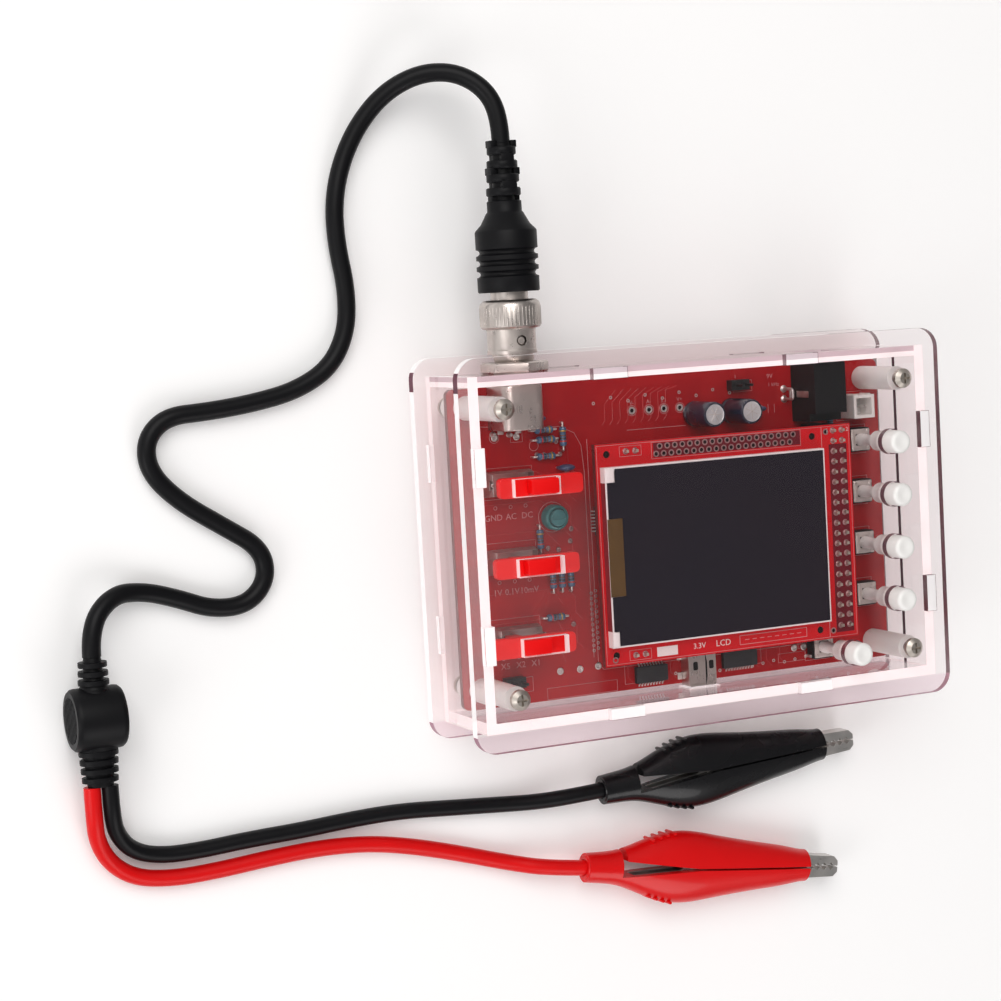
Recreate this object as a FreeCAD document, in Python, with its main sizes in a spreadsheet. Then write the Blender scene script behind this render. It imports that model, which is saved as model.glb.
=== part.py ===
import FreeCAD, Part
import math
import os
import Sketcher

# Kit-built pocket oscilloscope in a clear laser-cut case, with its test lead.
# Millimetres. +X runs along the long side, +Y towards the signal socket and +Z out of the screen.
# The case lies on its back: z = 0 is the plane of the rear screw heads.

doc = FreeCAD.newDocument("oscilloscope")
vector = FreeCAD.Vector

sizes = {
    # laser-cut case
    "plateLipX": 3.25,
    "plateLipY": 4.25,
    "plateThick": 2.5,
    "plateCorner": 5,
    "panelThick": 2.5,
    "boardGap": 0.75,
    "tabLong": 8.8,
    "sideTabSpread": 20.5,
    "endTabSpread": 26,
    "slotGap": 0.1,
    "overcut": 1,
    # screws and standoffs
    "screwRadius": 1.25,
    "screwHeadRadius": 2.4,
    "screwHeadTall": 1.9,
    "screwHeadTop": 1.44,
    "screwRimTall": 1.05,
    "crossLong": 2.6,
    "crossWide": 0.55,
    "crossDeep": 1,
    "drillPoint": 0.75,
    "frontShank": 7,
    "rearShank": 4.5,
    "holeInset": 4.5,
    "threadGap": 0.05,
    "holeGap": 0.2,
    "standoffRadius": 2.9,
    "frontStandoff": 16,
    "rearStandoff": 6,
    "studReach": 3.4,
    # display module, the board round it and the main board round that
    "moduleWidth": 60.3,
    "moduleHeight": 42.7,
    "moduleThick": 2.3,
    "moduleLeft": 1.1,
    "moduleRight": 9.1,
    "moduleAbove": 5.45,
    "moduleBelow": 4.65,
    "leftStrip": 29.85,
    "rightStrip": 16.65,
    "bottomStrip": 8.4,
    "boardThick": 1.6,
    "boardCorner": 1.5,
    "displayHoleRadius": 1.5,
    "displayHoleInset": 2.5,
    "moduleHoleInset": 1.9,
    "frameRim": 0.9,
    "frameFloor": 0.8,
    "flexWide": 3.2,
    "flexLong": 18.5,
    "flexThick": 0.2,
    "glassGap": 0.1,
    "socketTall": 8.5,
    "pinBaseTall": 2.5,
    "pinPitch": 2.54,
    "pinHalf": 0.32,
    "pinProud": 1.2,
    "headerRows": 20,
    "headerInset": 3.75,
    "supportInset": 9.4,
    "supportEdge": 2.1,
    "headerRise": 0.8,
    # push buttons
    "buttonInset": 7.7,
    "buttonRise": 1.8,
    "buttonPitch": 13,
    "resetInset": 21.1,
    "resetRise": 5,
    "switchWide": 6,
    "switchTall": 3.5,
    "wellDeep": 1.2,
    "stemRadius": 1.7,
    "stemGap": 0.1,
    "stemRest": 0.6,
    "collarProud": 1.75,
    "capRadius": 2.85,
    "capProud": 4,
    "capRound": 0.7,
    "capHoleGap": 0.3,
    # slide switches
    "sliderInset": 12.3,
    "sliderDrop": 0.2,
    "sliderPitch": 18.5,
    "sliderStep": 2,
    "slideBodyLong": 12.6,
    "slideBodyWide": 6.2,
    "slideBodyTall": 4.6,
    "slideWall": 0.5,
    "leverLong": 3,
    "leverWide": 2.4,
    "leverSink": 2.6,
    "barLong": 21.4,
    "barWide": 4.8,
    "barThick": 2.4,
    "barGap": 0.3,
    "thumbLong": 7,
    "thumbGap": 0.3,
    "thumbWide": 3.6,
    # supply and computer sockets
    "jackWide": 9,
    "jackLong": 14.4,
    "jackGap": 1,
    "jackTall": 11,
    "jackInset": 20.7,
    "jackStepLong": 1.9,
    "jackStepTall": 2.75,
    "jackBore": 3.2,
    "jackBoreDeep": 9.5,
    "jackPinRadius": 1.05,
    "jackPinLong": 8.5,
    "jackAxisTall": 6.4,
    "socketSetback": 0.35,
    "cutoutGap": 0.6,
    "usbWide": 7.6,
    "usbLong": 8.8,
    "usbTall": 3.9,
    "usbWall": 0.4,
    "usbTongueWide": 4.2,
    "usbTongueLong": 6.2,
    "usbShift": 4.5,
    "batteryWide": 6,
    "batteryLong": 5.8,
    "batteryTall": 7,
    "batteryWall": 0.8,
    "batteryInset": 8.5,
    "batteryDrop": 11.4,
    "batteryPinTall": 5.25,
    # loose components
    "canRadius": 3.1,
    "canTall": 11,
    "canPitch": 10.3,
    "canShift": 3.65,
    "canDrop": 10.1,
    "canBead": 0.3,
    "beadRise": 1.3,
    "beadWide": 0.9,
    "trimmerRadius": 3.1,
    "trimmerTall": 3.4,
    "rotorRadius": 2.1,
    "rotorTall": 1.2,
    "rotorSlot": 0.6,
    "rotorSunk": 0.6,
    "trimmerInset": 23.9,
    "trimmerRise": 9.4,
    "resistorRadius": 0.9,
    "resistorLong": 4.6,
    "wireReach": 1,
    "wireRadius": 0.28,
    "wireRise": 1.3,
    "discRadius": 2.1,
    "discThick": 1.6,
    "chipTall": 1.4,
    "postTall": 6,
    "loopRadius": 0.39,
    "loopTall": 3.9,
    "loopGap": 2.2,
    "loopRise": 3,
    # signal socket
    "bncInset": 13.6,
    "bncBlockWide": 10.4,
    "bncBlockLong": 10.6,
    "bncBlockTall": 10.8,
    "bncAxisTall": 5.6,
    "threadRadius": 4.7,
    "barrelRadius": 4.8,
    "barrelWall": 0.6,
    "barrelLong": 9.6,
    "jackReach": 8.5,
    "lugRadius": 0.95,
    "lugProud": 0.65,
    "lugBack": 4.3,
    "nutWide": 14,
    "nutThick": 2.6,
    "nutGap": 0.05,
    "insulatorRadius": 2.4,
    "insulatorBack": 2.4,
    "contactBore": 0.75,
    # plug of the test lead
    "ringGap": 0.15,
    "ringBack": 1.2,
    "ringSkirt": 5.9,
    "ringSkirtLong": 5.9,
    "ringRadius": 7.25,
    "ringGripLong": 6.8,
    "ringFlange": 1,
    "gripRibs": 24,
    "gripGroove": 0.35,
    "slotTurn": 70,
    "camRise": 1.4,
    "lugGap": 0.15,
    "plugPinRadius": 0.6,
    "plugPinLong": 4.5,
    "neckRadius": 4.4,
    "neckSunk": 6,
    "sleeveRadius": 3.9,
    "sleeveWall": 0.9,
    "sleeveLong": 4.5,
    "collarLong": 1.9,
    "faceGap": 0.25,
    "washerThick": 0.6,
    "bootRadius": 7.3,
    "bootLong": 14.4,
    "bootGrooves": 3,
    "bootGroove": 0.9,
    "bootCone": 4,
    "reliefRadius": 4.1,
    "reliefTip": 3.1,
    "reliefLong": 16.1,
    "reliefRings": 5,
    "reliefGroove": 0.9,
    # leads, splitter and clips
    "coaxRadius": 2.15,
    "leadRadius": 1.95,
    "splitRadius": 7.15,
    "splitWide": 11.6,
    "ribTaper": 0.5,
    "splitX": -147.2,
    "splitY": -33.6,
    "splitGroove": 0.5,
    "splitGrooves": 4,
    "splitNeckRadius": 3.6,
    "splitNeck": 13.8,
    "splitTailRadius": 4.85,
    "splitTail": 15.4,
    "clipLong": 72,
    "clipZ": 5.1,
    "clipTail": 9,
    "clipPivot": 30,
    "clipOpen": 9,
    "clipSplit": 0.25,
    "clipRivet": 1.2,
    "clipSheet": 0.6,
    "clipWide": 4.2,
    "clipFit": 0.15,
    "jawRear": 13,
    "jawTip": 1.43,
    "tipSlant": 1.2,
    "toothFall": 0.7,
    "jawNose": 2.6,
    "jawGap": 0.15,
    "toothPitch": 2,
    "toothDeep": 0.8,
    "teeth": 10,
    "earRadius": 3.5,
    "springRadius": 2.2,
    "springWire": 0.6,
    "springLeg": 9,
    "earLift": 2.275,
    "earRoom": 0.875,
    "innerEar": 2.45,
    "earGap": 0.1,
    "bootGap": 1.3,
    "redClipX": -27.3,
    "redClipY": -86.2,
    "redClipTurn": -8,
    "blackClipX": -21.5,
    "blackClipY": -67.6,
    "blackClipTurn": 3,
}

places = {
    "displayWidth": "=dims.moduleLeft + dims.moduleWidth + dims.moduleRight",
    "displayHeight": "=dims.moduleBelow + dims.moduleHeight + dims.moduleAbove",
    "boardWidth": "=dims.leftStrip + displayWidth + dims.rightStrip",
    "headerTop": "=displayHeight / 2 + dims.headerRise + dims.headerRows * dims.pinPitch / 2",
    "aboveHeader": "=dims.jackGap + dims.jackLong + dims.socketSetback - dims.boardGap",
    "boardHeight": "=dims.bottomStrip + headerTop + aboveHeader",
    "innerX": "=boardWidth / 2 + dims.boardGap",
    "innerY": "=boardHeight / 2 + dims.boardGap",
    "outerX": "=innerX + dims.panelThick",
    "outerY": "=innerY + dims.panelThick",
    "plateWidth": "=2 * (outerX + dims.plateLipX)",
    "plateHeight": "=2 * (outerY + dims.plateLipY)",
    "screwX": "=boardWidth / 2 - dims.holeInset",
    "screwY": "=boardHeight / 2 - dims.holeInset",
    "midY": "=-dims.jackReach / 2",
    "displayLeft": "=-boardWidth / 2 + dims.leftStrip",
    "displayX": "=displayLeft + displayWidth / 2",
    "displayUp": "=-boardHeight / 2 + dims.bottomStrip + displayHeight / 2",
    "moduleX": "=displayLeft + dims.moduleLeft + dims.moduleWidth / 2",
    "moduleUp": "=displayUp - displayHeight / 2 + dims.moduleBelow + dims.moduleHeight / 2",
    "moduleHoleX": "=dims.moduleWidth / 2 - dims.moduleHoleInset",
    "displayHoleY": "=displayHeight / 2 - dims.displayHoleInset",
    "headerX": "=displayLeft + displayWidth - dims.headerInset",
    "supportX": "=displayLeft + dims.supportInset",
    "supportUp": "=displayHeight / 2 - dims.supportEdge",
    "headerUp": "=displayUp + dims.headerRise",
    "buttonX": "=boardWidth / 2 - dims.buttonInset",
    "buttonUp": "=displayUp + dims.buttonRise",
    "resetX": "=boardWidth / 2 - dims.resetInset",
    "resetUp": "=-boardHeight / 2 + dims.resetRise",
    "sliderX": "=-boardWidth / 2 + dims.sliderInset",
    "sliderUp": "=displayUp - dims.sliderDrop",
    "jackX": "=boardWidth / 2 - dims.jackInset",
    "usbX": "=displayX - dims.usbShift",
    "batteryX": "=boardWidth / 2 - dims.batteryInset",
    "batteryUp": "=boardHeight / 2 - dims.batteryDrop",
    "canX": "=displayX + dims.canShift",
    "canUp": "=boardHeight / 2 - dims.canDrop",
    "trimmerX": "=-boardWidth / 2 + dims.trimmerInset",
    "trimmerUp": "=sliderUp + dims.trimmerRise",
    "bncX": "=-boardWidth / 2 + dims.bncInset",
    "rearZ": "=dims.screwHeadTall",
    "panelZ": "=rearZ + dims.plateThick",
    "boardZ": "=panelZ + dims.rearStandoff",
    "boardTop": "=boardZ + dims.boardThick",
    "frontZ": "=boardTop + dims.frontStandoff",
    "frontTop": "=frontZ + dims.plateThick",
    "displayZ": "=boardTop + dims.socketTall + dims.pinBaseTall",
    "displayTop": "=displayZ + dims.boardThick",
    "slotHalf": "=dims.thumbLong / 2 + dims.sliderStep + dims.thumbGap",
    "barZ": "=frontZ - dims.barGap - dims.barThick",
    "boreRadius": "=dims.screwRadius + dims.threadGap",
    "holeRadius": "=dims.screwRadius + dims.holeGap",
    "stemZ": "=boardTop + dims.switchTall - dims.stemRest",
    "capTop": "=frontTop + dims.capProud",
    "wedge": "=tan(dims.clipOpen * 0.51)",
    "bncZ": "=boardTop + dims.bncAxisTall",
    "barrelEnd": "=midY + plateHeight / 2 + dims.jackReach",
    "barrelY": "=barrelEnd - dims.barrelLong",
    "panelOut": "=midY + outerY",
    "bncBlockY": "=midY + innerY - dims.socketSetback - dims.bncBlockLong",
    "blockFront": "=bncBlockY + dims.bncBlockLong",
    "lugY": "=barrelY + dims.lugBack",
    "ringY": "=barrelY + dims.ringBack",
    "gripY": "=ringY + dims.ringSkirtLong",
    "gripEnd": "=gripY + dims.ringGripLong",
    "plugY": "=gripEnd + dims.camRise + dims.ringGap * 2",
    "collarY": "=barrelEnd + dims.faceGap",
    "grooveRadius": "=dims.barrelRadius + dims.lugProud + dims.lugGap",
    "jackY": "=midY + innerY - dims.socketSetback - dims.jackLong",
    "jackZ": "=boardTop + dims.jackAxisTall",
    "usbY": "=midY - innerY + dims.socketSetback",
}


def addSheet(name, cells):
    sheet = doc.addObject("Spreadsheet::Sheet", name)
    for row, (alias, value) in enumerate(cells.items(), 1):
        sheet.set(f"A{row}", alias)
        sheet.set(f"B{row}", str(value))
        sheet.setAlias(f"B{row}", alias)
    return sheet


dims = addSheet("dims", sizes)
place = addSheet("place", places)
doc.recompute()

subParts = []
upright = FreeCAD.Rotation()
alongX = FreeCAD.Rotation(vector(0, 1, 0), 90)
alongY = FreeCAD.Rotation(vector(1, 0, 0), -90)


def keep(item, label):
    """Marks an object as a sub-part and gives it the name of its file."""
    item.Label = label
    subParts.append(item)
    return item


def seat(item, x="0", y="0", z="0", turn=upright):
    item.Placement = FreeCAD.Placement(vector(0, 0, 0), turn)
    for axis, rule in (("x", x), ("y", y), ("z", z)):
        item.setExpression(f"Placement.Base.{axis}", str(rule))
    return item


def block(wide, deep, tall, x, y, z):
    """A box centred on x and y that stands on z."""
    item = doc.addObject("Part::Box", "block")
    for side, rule in (("Length", wide), ("Width", deep), ("Height", tall)):
        item.setExpression(side, str(rule))
    return seat(item, f"({x}) - ({wide}) / 2", f"({y}) - ({deep}) / 2", z)


def rod(radius, tall, x, y, z, turn=upright):
    item = doc.addObject("Part::Cylinder", "rod")
    item.setExpression("Radius", str(radius))
    item.setExpression("Height", str(tall))
    return seat(item, x, y, z, turn)


def cut(base, *tools):
    for tool in tools:
        item = doc.addObject("Part::Cut", "cut")
        item.Base = base
        item.Tool = tool
        base = item
    return base


def fuse(*items):
    item = doc.addObject("Part::MultiFuse", "fuse")
    item.Shapes = list(items)
    item.Refine = True
    return item


def common(first, second):
    item = doc.addObject("Part::MultiCommon", "common")
    item.Shapes = [first, second]
    return item


def group(items):
    """Several separate solids that share one file."""
    item = doc.addObject("Part::Compound", "group")
    item.Links = list(items)
    return item


def newBody(name="body"):
    body = doc.addObject("PartDesign::Body", name)
    body.AllowCompound = True
    return body


def sketchOn(body, role, lift="0"):
    plane = next(item for item in body.Origin.OriginFeatures if item.Role == role)
    sketch = body.newObject("Sketcher::SketchObject", "sketch")
    sketch.AttachmentSupport = [(plane, "")]
    sketch.MapMode = "FlatFace"
    sketch.setExpression("AttachmentOffset.Base.z", lift)
    return sketch


def polygon(sketch, corners):
    """A closed outline whose corners are pairs of expressions."""
    first = sketch.GeometryCount
    count = len(corners)
    for index in range(count):
        angle = 2 * math.pi * index / count
        after = 2 * math.pi * (index + 1) / count
        start = vector(math.cos(angle), math.sin(angle), 0)
        stop = vector(math.cos(after), math.sin(after), 0)
        sketch.addGeometry(Part.LineSegment(start, stop), False)
    for index in range(count):
        after = first + (index + 1) % count
        sketch.addConstraint(Sketcher.Constraint("Coincident", first + index, 2, after, 1))
    for index, corner in enumerate(corners):
        for kind, rule in zip(("DistanceX", "DistanceY"), corner):
            guess = value(rule)
            number = sketch.addConstraint(Sketcher.Constraint(kind, -1, 1, first + index, 1, guess))
            sketch.setExpression(f"Constraints[{number}]", str(rule))


def hole(sketch, x, y, radius):
    spot = vector(value(x), value(y), 0)
    line = sketch.addGeometry(Part.Circle(spot, vector(0, 0, 1), value(radius)), False)
    for kind, rule in (("DistanceX", x), ("DistanceY", y)):
        number = sketch.addConstraint(Sketcher.Constraint(kind, -1, 1, line, 3, value(rule)))
        sketch.setExpression(f"Constraints[{number}]", str(rule))
    number = sketch.addConstraint(Sketcher.Constraint("Radius", line, value(radius)))
    sketch.setExpression(f"Constraints[{number}]", str(radius))


def value(rule):
    """The present value of an expression, as a number."""
    result = dims.evalExpression(str(rule))
    return float(getattr(result, "Value", result))


def box2d(x, y, wide, tall):
    left = f"({x}) - ({wide}) / 2"
    right = f"({x}) + ({wide}) / 2"
    low = f"({y}) - ({tall}) / 2"
    high = f"({y}) + ({tall}) / 2"
    return [(left, low), (right, low), (right, high), (left, high)]


def pad(body, sketch, length, symmetric=False, back=False):
    item = body.newObject("PartDesign::Pad", "pad")
    item.Profile = sketch
    item.setExpression("Length", str(length))
    item.Reversed = back
    if symmetric:
        item.SideType = "Symmetric"
    body.Tip = item
    return item


def pocket(body, sketch, length, back=False):
    item = body.newObject("PartDesign::Pocket", "pocket")
    item.Profile = sketch
    item.setExpression("Length", str(length))
    item.Reversed = back
    body.Tip = item
    return item


def turned(corners, x="0", y="0", z="0", turn=upright):
    """A body of revolution about its own Z, from corners of radius and height."""
    body = newBody()
    sketch = sketchOn(body, "XZ_Plane")
    polygon(sketch, corners)
    item = body.newObject("PartDesign::Revolution", "revolution")
    item.Profile = sketch
    item.ReferenceAxis = (sketch, ["V_Axis"])
    item.Angle = 360
    body.Tip = item
    seat(body, x, y, z, turn)
    return body


def roundEdges(body, radius, wanted):
    """Fillets the edges of the body's last feature that wanted picks."""
    doc.recompute()
    base = body.Tip
    names = [f"Edge{n}" for n, edge in enumerate(base.Shape.Edges, 1) if wanted(edge)]
    item = body.newObject("PartDesign::Fillet", "fillet")
    item.Base = (base, names)
    item.setExpression("Radius", str(radius))
    body.Tip = item
    return item


tiny = 1e-4


def upright4(edge, wide, deep):
    """True for the four upright edges at the corners of a wide by deep plate."""
    box = edge.BoundBox
    atCorner = abs(abs(box.Center.x) - wide / 2) < tiny and abs(abs(box.Center.y) - deep / 2) < tiny
    return atCorner and box.XLength < tiny and box.YLength < tiny


corners4 = [(-1, -1), (1, -1), (1, 1), (-1, 1)]
buttonRows = (1.5, 0.5, -0.5, -1.5)
buttonSpots = [("place.buttonX", f"place.buttonUp + {row} * dims.buttonPitch") for row in buttonRows]
resetSpot = ("place.resetX", "place.resetUp")
sliderRows = (1, 0, -1)


# ---- case -------------------------------------------------------------------


def makePlate(label, z, front):
    body = newBody(label)
    sketch = sketchOn(body, "XY_Plane")
    polygon(sketch, box2d("0", "0", "place.plateWidth", "place.plateHeight"))
    for sx, sy in corners4:
        hole(sketch, f"{sx} * place.screwX", f"{sy} * place.screwY", "place.holeRadius")
        polygon(
            sketch,
            box2d(
                f"{sx} * (place.innerX + place.outerX) / 2",
                f"{sy} * dims.sideTabSpread",
                "dims.panelThick + 2 * dims.slotGap",
                "dims.tabLong + 2 * dims.slotGap",
            ),
        )
        polygon(
            sketch,
            box2d(
                f"{sx} * dims.endTabSpread",
                f"{sy} * (place.innerY + place.outerY) / 2",
                "dims.tabLong + 2 * dims.slotGap",
                "dims.panelThick + 2 * dims.slotGap",
            ),
        )
    if front:
        for across, up in buttonSpots + [resetSpot]:
            hole(sketch, across, up, "dims.capRadius + dims.capHoleGap")
        for row in sliderRows:
            polygon(
                sketch,
                box2d(
                    "place.sliderX",
                    f"place.sliderUp + {row} * dims.sliderPitch",
                    "2 * place.slotHalf",
                    "dims.thumbWide + 2 * dims.thumbGap",
                ),
            )
    pad(body, sketch, "dims.plateThick")
    wide, deep = value("place.plateWidth"), value("place.plateHeight")
    roundEdges(body, "dims.plateCorner", lambda edge: upright4(edge, wide, deep))
    seat(body, "0", "place.midY", z)
    keep(body, label)


def tabbedOutline(half, spread):
    """Corners of a side wall that stands between the plates, with two tabs up and two down."""
    low, high = "0", "place.frontZ - place.panelZ"
    deep, proud = "-dims.plateThick", f"{high} + dims.plateThick"
    middles = [f"{side} * {spread}" for side in (-1, 1)]
    tabs = [(f"{middle} - dims.tabLong / 2", f"{middle} + dims.tabLong / 2") for middle in middles]
    corners = [(f"-({half})", low)]
    for left, right in tabs:
        corners += [(left, low), (left, deep), (right, deep), (right, low)]
    corners += [(half, low), (half, high)]
    for left, right in reversed(tabs):
        corners += [(right, high), (right, proud), (left, proud), (left, high)]
    corners.append((f"-({half})", high))
    return corners


def makeSideWall(label, side):
    body = newBody(label)
    sketch = sketchOn(body, "YZ_Plane")
    polygon(sketch, tabbedOutline("place.outerY", "dims.sideTabSpread"))
    pad(body, sketch, "dims.panelThick", symmetric=True)
    seat(body, f"{side} * (place.innerX + place.outerX) / 2", "place.midY", "place.panelZ")
    keep(body, label)


def makeEndWall(label, side):
    body = newBody(label)
    sketch = sketchOn(body, "XZ_Plane")
    polygon(sketch, tabbedOutline("place.innerX", "dims.endTabSpread"))
    base = "place.boardTop - place.panelZ"
    if side > 0:
        hole(sketch, "place.bncX", f"{base} + dims.bncAxisTall", "dims.threadRadius + dims.holeGap")
        tall = "dims.jackTall + 2 * dims.cutoutGap"
        middle = f"{base} + dims.jackTall / 2"
        polygon(sketch, box2d("place.jackX", middle, "dims.jackWide + 2 * dims.cutoutGap", tall))
    else:
        tall = "dims.usbTall + 2 * dims.cutoutGap"
        middle = f"{base} + dims.usbTall / 2"
        polygon(sketch, box2d("place.usbX", middle, "dims.usbWide + 2 * dims.cutoutGap", tall))
    pad(body, sketch, "dims.panelThick", symmetric=True)
    seat(body, "0", f"place.midY + {side} * (place.innerY + place.outerY) / 2", "place.panelZ")
    keep(body, label)


makePlate("front_plate", "place.frontZ", True)
makePlate("rear_plate", "place.rearZ", False)
makeSideWall("left_panel", -1)
makeSideWall("right_panel", 1)
makeEndWall("top_panel", 1)
makeEndWall("bottom_panel", -1)


# ---- screws and standoffs ---------------------------------------------------


def atScrews(make):
    """One of the same piece at each of the four holes."""
    return group([make(f"{sx} * place.screwX", f"place.midY + {sy} * place.screwY") for sx, sy in corners4])


def makeScrew(shank, z, up):
    """A pan head whose underside is at z, with its shank pointing into the case."""
    way = "-1" if up else "1"
    head = f"{way} * -dims.screwHeadTall"
    rim = f"{way} * -dims.screwRimTall"
    corners = [
        ("0", f"{way} * {shank}"),
        ("0", head),
        ("dims.screwHeadTop", head),
        ("dims.screwHeadRadius", rim),
        ("dims.screwHeadRadius", "0"),
        ("dims.screwRadius", "0"),
        ("dims.screwRadius", f"{way} * {shank}"),
    ]
    # the cross is cut as deep into the head as it stands out beyond it
    low = f"{z} + {head} - dims.crossDeep"

    def make(x, y):
        arms = [
            block("dims.crossLong", "dims.crossWide", "2 * dims.crossDeep", x, y, low),
            block("dims.crossWide", "dims.crossLong", "2 * dims.crossDeep", x, y, low),
        ]
        return cut(turned(corners, x, y, z), *arms)

    return make


frontStandoffOutline = [
    ("place.boreRadius", "dims.frontStandoff"),
    ("place.boreRadius", "dims.frontStandoff - dims.frontShank"),
    ("0", "dims.frontStandoff - dims.frontShank - dims.drillPoint"),
    ("0", "-dims.boardThick - dims.studReach"),
    ("dims.screwRadius", "-dims.boardThick - dims.studReach"),
    ("dims.screwRadius", "0"),
    ("dims.standoffRadius", "0"),
    ("dims.standoffRadius", "dims.frontStandoff"),
]
rearStandoffOutline = [
    ("place.boreRadius", "0"),
    ("dims.standoffRadius", "0"),
    ("dims.standoffRadius", "dims.rearStandoff"),
    ("place.boreRadius", "dims.rearStandoff"),
]
keep(atScrews(makeScrew("dims.frontShank", "place.frontTop", True)), "front_screws")
keep(atScrews(makeScrew("dims.rearShank", "place.rearZ", False)), "rear_screws")
keep(atScrews(lambda x, y: turned(frontStandoffOutline, x, y, "place.boardTop")), "front_standoffs")
keep(atScrews(lambda x, y: turned(rearStandoffOutline, x, y, "place.panelZ")), "rear_standoffs")


# ---- circuit boards and display ---------------------------------------------


# the long header stands at the display's right, and two pairs of pins hold its left corners
headerRow = "place.midY + place.headerUp"
supportRows = [f"place.midY + place.displayUp + {side} * place.supportUp" for side in (-1, 1)]
pinSpots = []
for row in range(sizes["headerRows"]):
    y = f"{headerRow} + ({row} - (dims.headerRows - 1) / 2) * dims.pinPitch"
    pinSpots += [(f"place.headerX + {column} * dims.pinPitch", y) for column in (-0.5, 0.5)]
supportSpots = [
    [(f"place.supportX + {column} * dims.pinPitch", y) for column in (-0.5, 0.5)] for y in supportRows
]


def pinPosts(spots, tall):
    """Square pins of the display's headers, from the underside of the display board."""
    side = "2 * dims.pinHalf"
    return [block(side, side, tall, x, y, "place.displayZ") for x, y in spots]


def makeMainBoard():
    body = newBody("main_board")
    sketch = sketchOn(body, "XY_Plane")
    polygon(sketch, box2d("0", "0", "place.boardWidth", "place.boardHeight"))
    for sx, sy in corners4:
        hole(sketch, f"{sx} * place.screwX", f"{sy} * place.screwY", "place.holeRadius")
    pad(body, sketch, "dims.boardThick")
    wide, deep = value("place.boardWidth"), value("place.boardHeight")
    roundEdges(body, "dims.boardCorner", lambda edge: upright4(edge, wide, deep))
    seat(body, "0", "place.midY", "place.boardZ")
    keep(body, "main_board")


def makeDisplayBoard():
    x, y = "place.displayX", "place.midY + place.displayUp"
    board = block("place.displayWidth", "place.displayHeight", "dims.boardThick", x, y, "place.displayZ")
    holes = []
    for sx, sy in corners4:
        across = f"place.moduleX + {sx} * place.moduleHoleX"
        up = f"{y} + {sy} * place.displayHoleY"
        holes.append(rod("dims.displayHoleRadius", "dims.boardThick", across, up, "place.displayZ"))
    for spots in (pinSpots, *supportSpots):
        holes += pinPosts(spots, "dims.boardThick")
    keep(cut(board, group(holes)), "display_board")


def makeDisplayModule():
    x = "place.moduleX"
    y = "place.midY + place.moduleUp"
    inside = "dims.moduleThick - dims.frameFloor"
    outer = block("dims.moduleWidth", "dims.moduleHeight", "dims.moduleThick", x, y, "place.displayTop")
    wide = "dims.moduleWidth - 2 * dims.frameRim"
    tall = "dims.moduleHeight - 2 * dims.frameRim"
    recess = block(wide, tall, inside, x, y, "place.displayTop + dims.frameFloor")
    keep(cut(outer, recess), "display_frame")
    left = f"{x} - ({wide}) / 2 + dims.flexWide"
    glassWide = f"{wide} - dims.flexWide - 2 * dims.glassGap"
    glassX = f"{left} + dims.glassGap + ({glassWide}) / 2"
    glassTall = f"{tall} - 2 * dims.glassGap"
    glass = block(glassWide, glassTall, inside, glassX, y, "place.displayTop + dims.frameFloor")
    keep(glass, "display_glass")
    flexX = f"{x} - ({wide}) / 2 + dims.flexWide / 2"
    sides = ("dims.flexWide", "dims.flexLong", "dims.flexThick")
    flex = block(*sides, flexX, y, "place.displayTop + dims.frameFloor")
    keep(flex, "display_flex")


def makeHeaders():
    sockets = []
    strips = []
    long = "dims.headerRows * dims.pinPitch"
    proud = "dims.boardThick + dims.pinProud"
    places = [("place.headerX", headerRow, long, pinSpots)]
    places += [("place.supportX", y, "dims.pinPitch", spots) for y, spots in zip(supportRows, supportSpots)]
    for x, y, deep, spots in places:
        sockets.append(block("2 * dims.pinPitch", deep, "dims.socketTall", x, y, "place.boardTop"))
        lift = "place.boardTop + dims.socketTall"
        base = block("2 * dims.pinPitch", deep, "dims.pinBaseTall", x, y, lift)
        strips.append(fuse(base, *pinPosts(spots, proud)))
    keep(group(sockets), "header_sockets")
    keep(group(strips), "header_pins")


makeMainBoard()
makeDisplayBoard()
makeDisplayModule()
makeHeaders()


# ---- push buttons -----------------------------------------------------------


def makePushSwitches():
    bodies = []
    for across, up in buttonSpots + [resetSpot]:
        y = f"place.midY + {up}"
        shell = block("dims.switchWide", "dims.switchWide", "dims.switchTall", across, y, "place.boardTop")
        floor = "place.boardTop + dims.switchTall - dims.wellDeep"
        well = rod("dims.stemRadius + dims.stemGap", "dims.wellDeep + dims.overcut", across, y, floor)
        bodies.append(cut(shell, well))
    keep(group(bodies), "push_switches")


def makeButton(label, across, up):
    """A white extension cap: it stands in the switch and passes through the front plate."""
    tall = "place.capTop - place.stemZ"
    flare = "place.frontZ - place.stemZ - dims.capRadius"
    collar = "dims.collarProud + dims.stemRest"
    body = turned(
        [
            ("0", "0"),
            ("dims.stemRadius", "0"),
            ("dims.stemRadius", collar),
            ("dims.capRadius", flare),
            ("dims.capRadius", tall),
            ("0", tall),
        ],
        across,
        f"place.midY + {up}",
        "place.stemZ",
    )
    top = value(tall)

    def onTop(edge):
        return edge.BoundBox.ZMin > top - tiny and edge.BoundBox.XLength > tiny

    roundEdges(body, "dims.capRound", onTop)
    keep(body, label)


makePushSwitches()
for number, (across, up) in enumerate(buttonSpots, 1):
    makeButton(f"button_{number}", across, up)
makeButton("reset_button", *resetSpot)


# ---- slide switches ---------------------------------------------------------


def sliderY(row):
    return f"place.midY + place.sliderUp + {row} * dims.sliderPitch"


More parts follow.
